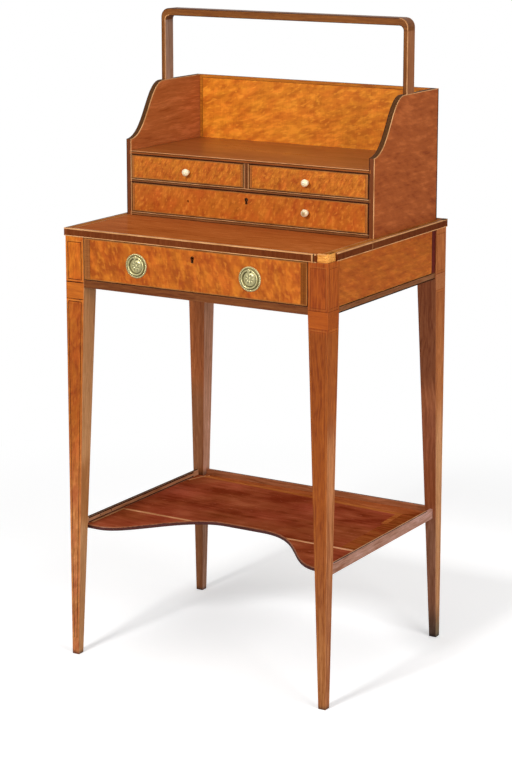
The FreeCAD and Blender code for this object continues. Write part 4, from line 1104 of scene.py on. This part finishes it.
# ------------------------------------------------------------------ the book stage
def ogee_path(node, steps=24):
    """Front profile of a side of the stage as (y, z), from its foot up and back along its top:
    the ogee is a cubic curve whose handles are level, as in the frame."""
    low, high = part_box(node)
    front_top = low.z + 126 * MM
    flat_y = high.y - 119.5 * MM
    t = np.linspace(0, 1, steps)[:, None]
    poles = np.array([(low.y, front_top), (low.y + 50 * MM, front_top + 3 * MM),
                      (flat_y - 42 * MM, high.z), (flat_y, high.z)])
    curve = ((1 - t) ** 3 * poles[0] + 3 * (1 - t) ** 2 * t * poles[1]
             + 3 * (1 - t) * t ** 2 * poles[2] + t ** 3 * poles[3])
    return [(low.y, low.z)] + curve.tolist() + [(high.y, high.z)]


class BONHEUR_OT_stage_carcase(BuildOperator, bpy.types.Operator):
    """Sides, figured back and boards of the book stage, with their stringing"""
    bl_idname = "bonheur.stage_carcase"
    bl_label = "Book stage"

    def make(self):
        # Painted shade: the upward faces of the edges take the darker edge wood, darker than the front edges
        # of the same boards.
        edges = [("dark_edge", (0, -0.6, 0.8), 0.55), ("dark_edge", (0, 0, 1), 0.8),
                 ("dark_edge", (0, 1, 0), 0.9), ("edge_mahogany", (0, -1, 0), 0.9999)]
        eased("stage_side_left", "side_mahogany", sides=[("inner_mahogany", (1, 0, 0), 0.9)] + edges)
        eased("stage_side_right", "side_mahogany", sides=edges)
        eased("stage_back", "golden_satinwood", sides=[("dark_edge", (0, 0, 1), 0.8)])
        eased("stage_shelf", "shelf_mahogany", 0.3 * MM)
        for board in ("stage_divider", "stage_dustboard", "stage_bottom"):
            eased(board, "stage_rails", 0.3 * MM)
        dress(["locating_pegs"], "bare_oak_x")
        light, dark = [], []
        self.side_lines(light, dark)
        self.board_lines(light, dark)
        bands = self.back_bands(dark)
        let_in("stage_stringing_light", light, "stage", "boxwood_string")
        let_in("stage_stringing_dark", dark, "stage", "dyed_string")
        let_in("stage_back_banding", bands, "stage", "gold_band_x")

    def side_lines(self, light, dark):
        """Light lines on the right-hand arris of each side and dark ones on the left-hand, and a dark line
        down the outside of each side at its back, which stands for the back's dark edge with painted shadow
        beside it."""
        left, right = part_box("stage_side_left"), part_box("stage_side_right")
        path = ogee_path("stage_side_right")
        for outer, inner, lines_outer, lines_inner in ((right[1].x, right[0].x, light, dark),
                                                       (left[0].x, left[1].x, dark, light)):
            way = math.copysign(1, outer)
            lines_outer.append(arris(on_plane(RIGHT, outer, path), (way, 0, 0), (0, -1, 0), 1.0 * MM))
            lines_inner.append(arris(on_plane(RIGHT, inner, path), (-way, 0, 0), (0, -1, 0), 1.2 * MM))
        # Partly painted shadow: the dark line at the back of each side, beside the dark edge of the back.
        for plane, x in ((RIGHT, right[1].x), (LEFT, left[0].x)):
            dark.append(upright(plane, x, right[1].y - 1.7 * MM, right[0].z + 0.2 * MM,
                                right[1].z - 1 * MM, 2.6 * MM))

    def board_lines(self, light, dark):
        """A light line between dark ones on the front of each board, and a dark one between
        light ones on the divider."""
        inner_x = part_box("stage_side_right")[0].x
        front_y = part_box("stage_shelf")[0].y
        for node in ("stage_shelf", "stage_dustboard", "stage_bottom"):
            low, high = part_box(node)
            for lines, z in ((light, high.z - 0.6 * MM), (dark, high.z - 1.9 * MM),
                             (dark, low.z + 0.5 * MM)):
                lines.append(line_on(FRONT, front_y, [(-inner_x, z), (inner_x, z)], 0.9 * MM))
        low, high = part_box("stage_divider")
        for x, lines in ((low.x + 0.7 * MM, light), (high.x - 0.7 * MM, light), (0.0, dark)):
            lines.append(upright(FRONT, front_y, x, low.z, high.z, 1.0 * MM))

    def back_bands(self, dark):
        """Golden crossbands round three sides of the stage's back, with a dark line inside."""
        low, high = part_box("stage_back")
        shelf_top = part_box("stage_shelf")[1].z
        wide = 5 * MM
        inner_x, inner_z = high.x - wide, high.z - wide
        bands = [band_on(FRONT, low.y, hand * high.x, hand * inner_x, shelf_top, inner_z)
                 for hand in (-1, 1)]
        bands.append(band_on(FRONT, low.y, -high.x, high.x, inner_z, high.z - 0.4 * MM))
        inside = [(-inner_x, shelf_top), (-inner_x, inner_z), (inner_x, inner_z), (inner_x, shelf_top)]
        dark.append(line_on(FRONT, low.y, inside, 0.6 * MM))
        return bands


class BONHEUR_OT_handle(BuildOperator, bpy.types.Operator):
    """Fixed carrying handle with string lines on its arrises"""
    bl_idname = "bonheur.handle"
    bl_label = "Handle"

    def make(self):
        # The inner side of the left upright has a greyed colour: partly painted sheen.
        for side, inner in (("left", "handle_inner"), ("right", "handle_side")):
            eased("handle_upright_" + side, "handle_mahogany_z", 0.3 * MM, [(inner, (1, 0, 0), 0.7)])
        eased("handle_bar", "handle_mahogany_x", 0.3 * MM)
        low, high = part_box("handle_bar")
        foot_low, foot_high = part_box("handle_upright_right")
        outer_radius, inner_radius, bar = 15 * MM, 8 * MM, 12 * MM
        # The outer line is light on the right and dark on the left, the inner one the reverse,
        # and both are dark along the bar, where they are narrower and keep a sharper corner.
        light, dark = [], []
        arches = ((self.arch(foot_high.x, high.z, outer_radius), -1, dark, light),
                  (self.arch(foot_low.x, high.z - bar, inner_radius), 1, light, dark))
        for plane, y in ((FRONT, low.y), (REAR, high.y)):
            for arch, out, lines_left, lines_right in arches:
                path = on_plane(plane, y, arch)
                half = len(path) // 2
                for lines, part, free, width, rounding in (
                        (lines_left, path[:half], (out, 0, 0), 1.3 * MM, 1.2 * MM),
                        (dark, path[half - 1:half + 1], (0, 0, -out), 0.8 * MM, 0.3 * MM),
                        (lines_right, path[half:], (0, 0, -out), 1.3 * MM, 1.2 * MM)):
                    lines.append(arris(part, plane[2], free, width, rounding))
        let_in("handle_stringing_light", light, "stage", "boxwood_string")
        let_in("handle_stringing_dark", dark, "stage", "dyed_string")

    def arch(self, x, top, radius):
        """Up the left side, round both corners, each a quarter of a circle, and down the right,
        as (x, z)."""
        foot_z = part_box("stage_side_right")[1].z
        turn = np.linspace(0, math.pi / 2, 10)
        left = np.stack([-x + radius - radius * np.cos(turn), top - radius + radius * np.sin(turn)], 1)
        right = left[::-1] * (-1, 1)
        return [(-x, foot_z)] + left.tolist() + right.tolist() + [(x, foot_z)]


# ------------------------------------------------------------------ drawers
def drawer_front(name, material, wide, band_materials):
    """Figured front of a drawer in a narrow band between lines, with a crossband at each end. A
    wide crossband has a second line along its middle."""
    eased(name + "_front", material, 0.3 * MM)
    low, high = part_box(name + "_front")
    edge, gap, line_gap = 1.75 * MM, 2.6 * MM, 2.5 * MM
    frame_line = corners(low.x + edge, high.x - edge, low.z + edge, high.z - edge)
    rim = on_plane(FRONT, low.y, corners(low.x, high.x, low.z, high.z))
    dark = [arris(rim, (0, -1, 0), (0, 0, -1), 0.9 * MM, closed=True)]
    for side, outer, way, band_material in (("left", low.x, 1, band_materials[0]),
                                            ("right", high.x, -1, band_materials[1])):
        inside = outer + way * wide
        strip = band_on(FRONT, low.y, outer + way * gap, inside, low.z + gap, high.z - gap)
        let_in(name + "_crossband_" + side, [strip], name, band_material)
        places = [inside, outer + way * wide * 0.55] if wide > 8 * MM else [inside]
        dark += [upright(FRONT, low.y, place, low.z + line_gap, high.z - line_gap, 0.5 * MM)
                 for place in places]
    let_in(name + "_narrow_band", [line_on(FRONT, low.y, frame_line, 1.4 * MM, closed=True)], name,
           "khaki_string")
    let_in(name + "_stringing", dark, name, "dyed_string")


def drawer_inside(name, locked):
    """Oak sides, back and bottom of a drawer, left as planed, and its lock, bolt and keyhole."""
    dress([name + "_sides"], "bare_oak_y")
    dress([name + "_back", name + "_bottom"], "bare_oak_x")
    if locked:
        dress([name + "_lock", name + "_bolt"], "filed_iron")
        # The escutcheon is painted nearly black: painted shade of the keyhole.
        dress([name + "_escutcheon"], "dull_brass")


class BONHEUR_OT_frieze_drawer(BuildOperator, bpy.types.Operator):
    """Frieze drawer with its mottled front, lining and lock"""
    bl_idname = "bonheur.frieze_drawer"
    bl_label = "Frieze drawer"

    def make(self):
        drawer_front("frieze_drawer", "frieze_satinwood", setting("inlay").frieze_band,
                     ("banding_x", "banding_dark"))
        drawer_inside("frieze_drawer", True)


class BONHEUR_OT_stage_drawers(BuildOperator, bpy.types.Operator):
    """Two short drawers over a long one, with their linings and lock"""
    bl_idname = "bonheur.stage_drawers"
    bl_label = "Stage drawers"

    def make(self):
        for name, material, locked in (("left_drawer", "small_satinwood", False),
                                       ("right_drawer", "small_satinwood", False),
                                       ("long_drawer", "long_satinwood", True)):
            drawer_front(name, material, setting("inlay").small_band, ("quiet_band", "quiet_band"))
            drawer_inside(name, locked)


# ------------------------------------------------------------------ brass and bone
def groove(radius, place, width, power=2):
    """1 in the middle of a ring-shaped groove, falling off on both sides like a bell: e to the
    minus (distance over width) to an even power."""
    return np.exp(-((radius - place) / width) ** power)


def turned_surface(profile, centre, around=48):
    """Closed surface turned about an axis along -Y: point (i, j) lies forward[i] in front of the
    centre and radius[i] from the axis, at angle j. A radius of 0 closes an end."""
    forward, radius = np.asarray(profile, float).T
    angle = np.linspace(0, 2 * math.pi, around, endpoint=False)
    points = np.stack([centre[0] + radius[:, None] * np.cos(angle),
                       np.broadcast_to((centre[1] - forward)[:, None], (len(forward), around)),
                       centre[2] + radius[:, None] * np.sin(angle)], -1)
    return points.reshape(-1, 3), ring_quads(len(forward), around, False)


class BONHEUR_OT_knobs(BuildOperator, bpy.types.Operator):
    """Turned bone knobs of the stage's drawers"""
    bl_idname = "bonheur.knobs"
    bl_label = "Knobs"

    def make(self):
        for drawer in ("left_drawer", "right_drawer", "long_drawer"):
            self.knob(drawer)

    def knob(self, drawer):
        """A stem, a collar and a head. The head is a flattened ball: half times the sine of an
        angle forward and the radius times its cosine out, with a turned line and a small pit
        left by the lathe's centre."""
        node = drawer + "_knob"
        low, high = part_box(node)
        front_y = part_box(drawer + "_front")[0].y
        centre = ((low.x + high.x) / 2, front_y, (low.z + high.z) / 2)
        half = 5.1 * MM
        angle = np.linspace(-1.12, math.pi / 2, 34)
        forward = front_y - low.y - half + half * np.sin(angle)
        head = (high.x - low.x) / 2 * np.cos(angle)
        line = groove(head, 3.4 * MM, 0.35 * MM) * (angle > 0)
        pit = groove(head, 0, 0.7 * MM)
        stem = [(front_y - high.y, 0), (front_y - high.y, 1.9 * MM), (-0.02 * MM, 1.9 * MM),
                (0, 3.9 * MM), (0.5 * MM, 4.0 * MM), (0.9 * MM, 3.9 * MM), (1.2 * MM, 3.0 * MM),
                (1.7 * MM, 2.6 * MM)]
        head = np.stack([forward - 0.25 * MM * line - 0.4 * MM * pit, head], 1)
        points, faces = turned_surface(stem + head.tolist(), centre)
        hollow = np.concatenate([np.full(len(stem), 0.3), np.clip(0.55 * line + 0.8 * pit, 0, 1)])
        hollow = np.repeat(hollow, len(points) // len(hollow))
        if drawer == "long_drawer":
            # This knob has a brown stain on its face.
            place = (points[:, [0, 2]] - (centre[0] + 0.5 * MM, centre[2])) / (3.4 * MM)
            hollow = np.maximum(hollow, np.exp(-np.sum(place ** 4, 1)))
        place_piece(closed_mesh(node + "_turned", points, faces, hollow), node + "_turned", drawer,
                    "turned_bone", [node], smooth=True)


# Radii of a stamped plate: the grooves round its boss and its rosette, and the rim.
BOSS_GROOVE = 2.9 * MM
ROSETTE_GROOVE = 9.1 * MM
RIM, RIM_HALF = 18.25 * MM, 1.35 * MM
RIM_START = RIM - RIM_HALF


def plate_height(radius, angle):
    """Height of a stamped plate above the drawer front. Out from the middle: a boss, a rosette
    of eight petals on a low dome, a plain channel where the ring lies, and a rim of small beads.
    Petals are the dome raised by the cosine of eight times the angle, and beads are the rim's
    half round raised by the cosine of forty times the angle."""
    plate, dome, dome_radius = 1.25 * MM, 1.3 * MM, 10.6 * MM
    flange, rim_height = 0.65 * MM, 1.8 * MM
    swell = np.sqrt(np.clip(1 - (radius / dome_radius) ** 2, 0, None))
    petals = 0.5 + 0.5 * np.cos(8 * angle)
    ring = np.clip(np.sin(np.clip((radius - 2.6 * MM) / (6.6 * MM), 0, 1) * math.pi), 0, 1)
    height = plate + dome * swell * (0.62 + 0.38 * petals * ring)
    height -= 0.45 * MM * groove(radius, BOSS_GROOVE, 0.55 * MM)
    height -= 0.35 * MM * groove(radius, ROSETTE_GROOVE, 0.4 * MM)
    height -= 0.35 * MM * groove(radius, 12.0 * MM, 0.5 * MM)
    bead = np.sqrt(np.clip(1 - ((radius - RIM) / RIM_HALF) ** 2, 0, None))
    beading = 0.72 + 0.28 * np.cos(40 * angle)
    edge = flange + rim_height * bead * beading
    return np.where(radius > RIM_START, np.maximum(edge, flange), height)


class BONHEUR_OT_pulls(BuildOperator, bpy.types.Operator):
    """Stamped round plates, hanging rings and their posts"""
    bl_idname = "bonheur.pulls"
    bl_label = "Ring pulls"

    def make(self):
        dress(["pull_posts"], "stamped_brass")
        plates_low, plates_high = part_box("pull_plates")
        front_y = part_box("frieze_drawer_front")[0].y
        plates = []
        for side in ("left", "right"):
            low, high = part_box("pull_ring_" + side)
            centre = np.array([(low.x + high.x) / 2, front_y, (plates_low.z + plates_high.z) / 2])
            plates.append(self.plate(centre, (plates_high.z - plates_low.z) / 2))
            self.ring(side, centre, low, high)
        mesh = closed_mesh("pull_plates_stamped", *joined(plates), np.hstack([plate[2] for plate in plates]))
        place_piece(mesh, "pull_plates_stamped", "frieze_drawer", "stamped_brass",
                    ["pull_plates"], smooth=True)

    def plate(self, centre, plate_radius):
        """Polar grid of the stamped front, closed by its edge and flat back, with the dirt on its points:
        between petals and beads, in the channels and in the grooves. The dark on both sides of the ring is
        partly painted shade that the ring casts on the plate."""
        around = 320
        radius = np.concatenate([np.linspace(0, RIM_START, 44),
                                 np.linspace(RIM_START + 0.02 * MM, plate_radius, 16)])
        angle = np.linspace(0, 2 * math.pi, around, endpoint=False)
        grid_radius, grid_angle = np.meshgrid(radius, angle, indexing="ij")
        height = plate_height(grid_radius, grid_angle)
        top = np.stack([centre[0] + grid_radius * np.cos(grid_angle), centre[1] - height,
                        centre[2] + grid_radius * np.sin(grid_angle)], -1)
        back_radius = np.array([plate_radius, 0])[:, None]
        back = np.stack([centre[0] + back_radius * np.cos(angle),
                         np.full((2, around), centre[1] - 0.02 * MM),
                         centre[2] + back_radius * np.sin(angle)], -1)
        points = np.concatenate([top, back]).reshape(-1, 3)
        depth = np.clip((plate_height(grid_radius, 0 * grid_angle) - height) / (0.5 * MM), 0, 1)
        # Dark bands on both sides of the hanging ring: tarnish in the channels, and painted shade of the
        # ring.
        channel = groove(grid_radius, 11.9 * MM, 1.5 * MM, 4)
        channel += groove(grid_radius, 16.0 * MM, 1.1 * MM, 4)
        channel += 0.8 * groove(grid_radius, BOSS_GROOVE, 0.5 * MM)
        channel += 0.6 * groove(grid_radius, ROSETTE_GROOVE, 0.4 * MM)
        # Rubbing keeps the rim's beads cleaner than the rosette.
        hollow = np.clip(depth * np.where(grid_radius > RIM_START, 0.5, 1.0) + channel, 0, 1)
        hollow = np.concatenate([hollow, np.zeros((2, around))]).reshape(-1)
        return points, ring_quads(len(radius) + 2, around, False), hollow

    def ring(self, side, centre, low, high):
        """Hanging ring: a round wire carried round a circle whose top is straight where it
        turns in the post. The wire swells a little towards the bottom of the ring."""
        wire = (high.y - low.y) / 2
        radius = (high.x - low.x) / 2 - wire
        half_top = 3.4 * MM
        gap = math.asin(half_top / radius)
        angle = np.linspace(math.pi / 2 + gap, math.pi / 2 - gap + 2 * math.pi, 88)
        arc = np.stack([centre[0] + radius * np.cos(angle), np.full_like(angle, (low.y + high.y) / 2),
                        centre[2] + radius * np.sin(angle)], 1)
        path = np.vstack([arc, np.linspace(arc[-1], arc[0], 6)[1:-1]])
        turn = np.linspace(0, 2 * math.pi, 14, endpoint=False)
        section = np.stack([np.cos(turn), np.sin(turn)], 1)
        points, faces = carried(path, (0, 1, 0), section * wire * 0.999, closed=True)
        lower = np.clip((centre[2] + radius - path[:, 2]) / (2 * radius), 0, 1)
        swell = (0.86 + 0.14 * lower)[:, None, None]
        points = path[:, None] + (points.reshape(len(path), -1, 3) - path[:, None]) * swell
        name = "pull_ring_" + side + "_cast"
        place_piece(closed_mesh(name, points.reshape(-1, 3), faces), name, side + "_ring",
                    "stamped_brass", ["pull_ring_" + side], smooth=True)


# ------------------------------------------------------------------ floor, lamps and camera
# Soft lamps: the setting with the power, the place, the point aimed at and the size.
LAMPS = (("key", (-0.24, -3.0, 2.2), (0, 0, 0.6), 0.6),
         ("fill", (2.6, -0.9, 1.5), (0, 0, 0.6), 1.6),
         ("overhead", (-0.2, 0.3, 2.9), (0, 0, 0), 2.2))
# The camera stands at the front right, a little above the table: turned and dipped by degrees.
CAMERA_PLACE = (1.8293, -3.0162, 1.3102)
CAMERA_TURN = 31.29
CAMERA_DIP = 11.56
FLOOR_REACH = 30.0
# Distances from the middle of the object between which the floor goes over to white.
FLOOR_FADE = (0.6, 1.4)
WHITE = (1, 1, 1, 1)


class BONHEUR_OT_studio(BuildOperator, bpy.types.Operator):
    """Pale floor, soft lamps and the camera"""
    bl_idname = "bonheur.studio"
    bl_label = "Studio"

    def make(self):
        self.floor()
        self.world()
        for name, place, aim, size in LAMPS:
            self.lamp(name + "_lamp", place, aim, size, getattr(setting("studio"), name))
        self.camera()

    def floor(self):
        """Level floor, pale grey where it is shaded and white at a distance."""
        mesh = bpy.data.meshes.new("floor")
        ends = (-FLOOR_REACH, FLOOR_REACH)
        mesh.from_pydata([(x, y, 0) for x, y in corners(*ends, *ends)], [], [(0, 1, 2, 3)])
        material, tree = new_material("white_floor")
        place = add(tree, "TexCoord").outputs["Object"]
        away = add(tree, "VectorMath", {"operation": "LENGTH"}, {0: place}).outputs["Value"]
        far = add(tree, "MapRange", {"interpolation_type": "SMOOTHSTEP"},
                  {"Value": away, "From Min": FLOOR_FADE[0], "From Max": FLOOR_FADE[1]})
        rays = add(tree, "LightPath")
        grey = add(tree, "Mix", {"data_type": "RGBA"}, {"Factor": rays.outputs["Is Glossy Ray"],
                                                        "A": (0.9, 0.9, 0.9, 1), "B": (0.3, 0.3, 0.3, 1)})
        paint = add(tree, "BsdfDiffuse", None, {"Color": grey})
        seen = add(tree, "Math", {"operation": "MAXIMUM"},
                   {0: rays.outputs["Is Camera Ray"], 1: rays.outputs["Is Transmission Ray"]})
        # The camera sees the shaded floor a little lighter than it is.
        lift = add(tree, "Math", {"operation": "MULTIPLY"}, {0: seen, 1: 0.36})
        lift = add(tree, "Emission", None, {"Color": WHITE, "Strength": lift})
        paint = add(tree, "AddShader", None, {0: paint, 1: lift})
        glow = add(tree, "Emission", None, {"Color": WHITE, "Strength": 1.0})
        part = add(tree, "Math", {"operation": "MULTIPLY"}, {0: far, 1: seen})
        mixed = add(tree, "MixShader", None, {"Fac": part, 1: paint, 2: glow})
        add(tree, "OutputMaterial", None, {"Surface": mixed})
        mesh.materials.append(material)
        floor = bpy.data.objects.new("floor", mesh)
        bpy.context.scene.collection.objects.link(floor)

    def world(self):
        """Even light from all round, brighter in reflections and white for the camera."""
        world = bpy.data.worlds.new("studio")
        world.use_nodes = True
        tree = world.node_tree
        tree.nodes.clear()
        rays = add(tree, "LightPath")
        soft, shine, white = (add(tree, "Background", None, {"Color": WHITE, "Strength": strength})
                              for strength in (setting("studio").ambient, 0.45, 1.0))
        mixed = add(tree, "MixShader", None, {"Fac": rays.outputs["Is Glossy Ray"], 1: soft, 2: shine})
        mixed = add(tree, "MixShader", None, {"Fac": rays.outputs["Is Camera Ray"], 1: mixed, 2: white})
        add(tree, "OutputWorld", None, {"Surface": mixed})
        bpy.context.scene.world = world

    def lamp(self, name, place, aim, size, power):
        """Square soft lamp turned towards a point."""
        data = bpy.data.lights.new(name, "AREA")
        data.shape = "SQUARE"
        data.size = size
        data.energy = power
        lamp = bpy.data.objects.new(name, data)
        lamp.location = place
        toward = Vector(aim) - Vector(place)
        lamp.rotation_euler = toward.to_track_quat("-Z", "Y").to_euler()
        bpy.context.scene.collection.objects.link(lamp)

    def camera(self):
        """Camera that sees the whole object, with the view shifted down."""
        studio = setting("studio")
        data = bpy.data.cameras.new("camera")
        data.lens = studio.focal
        data.sensor_width = 36
        data.shift_y = studio.fall
        camera = bpy.data.objects.new("camera", data)
        camera.location = CAMERA_PLACE
        camera.rotation_euler = (math.radians(90 - CAMERA_DIP), 0, math.radians(CAMERA_TURN))
        bpy.context.scene.collection.objects.link(camera)
        bpy.context.scene.camera = camera
        bpy.context.scene.view_settings.view_transform = "Standard"


# ------------------------------------------------------------------ panel and registration
OPERATORS = (BONHEUR_OT_legs, BONHEUR_OT_frieze, BONHEUR_OT_top, BONHEUR_OT_undershelf,
             BONHEUR_OT_stage_carcase, BONHEUR_OT_handle, BONHEUR_OT_frieze_drawer,
             BONHEUR_OT_stage_drawers, BONHEUR_OT_knobs, BONHEUR_OT_pulls, BONHEUR_OT_studio)


class BONHEUR_PT_sidebar(bpy.types.Panel):
    """Pieces of the writing table and the settings that they use"""
    bl_idname = "BONHEUR_PT_sidebar"
    bl_label = "Bonheur du jour"
    bl_space_type = "VIEW_3D"
    bl_region_type = "UI"
    bl_category = "Bonheur du jour"

    def draw(self, context):
        for operator in OPERATORS:
            self.layout.operator(operator.bl_idname)
        for group, kind in GROUPS.items():
            box = self.layout.box()
            for name in kind.__annotations__:
                box.prop(getattr(context.scene, group), name)


def register():
    """Register the settings, operators and panel."""
    for kind in tuple(GROUPS.values()) + OPERATORS + (BONHEUR_PT_sidebar,):
        bpy.utils.register_class(kind)
    for group, kind in GROUPS.items():
        setattr(bpy.types.Scene, group, PointerProperty(type=kind))


def unregister():
    """Undo register."""
    for group in GROUPS:
        delattr(bpy.types.Scene, group)
    for kind in (BONHEUR_PT_sidebar,) + OPERATORS + tuple(GROUPS.values()):
        bpy.utils.unregister_class(kind)


def main():
    """Make every piece and the studio."""
    register()
    for operator in OPERATORS:
        family, name = operator.bl_idname.split(".")
        getattr(getattr(bpy.ops, family), name)()


if __name__ == "__main__":
    main()
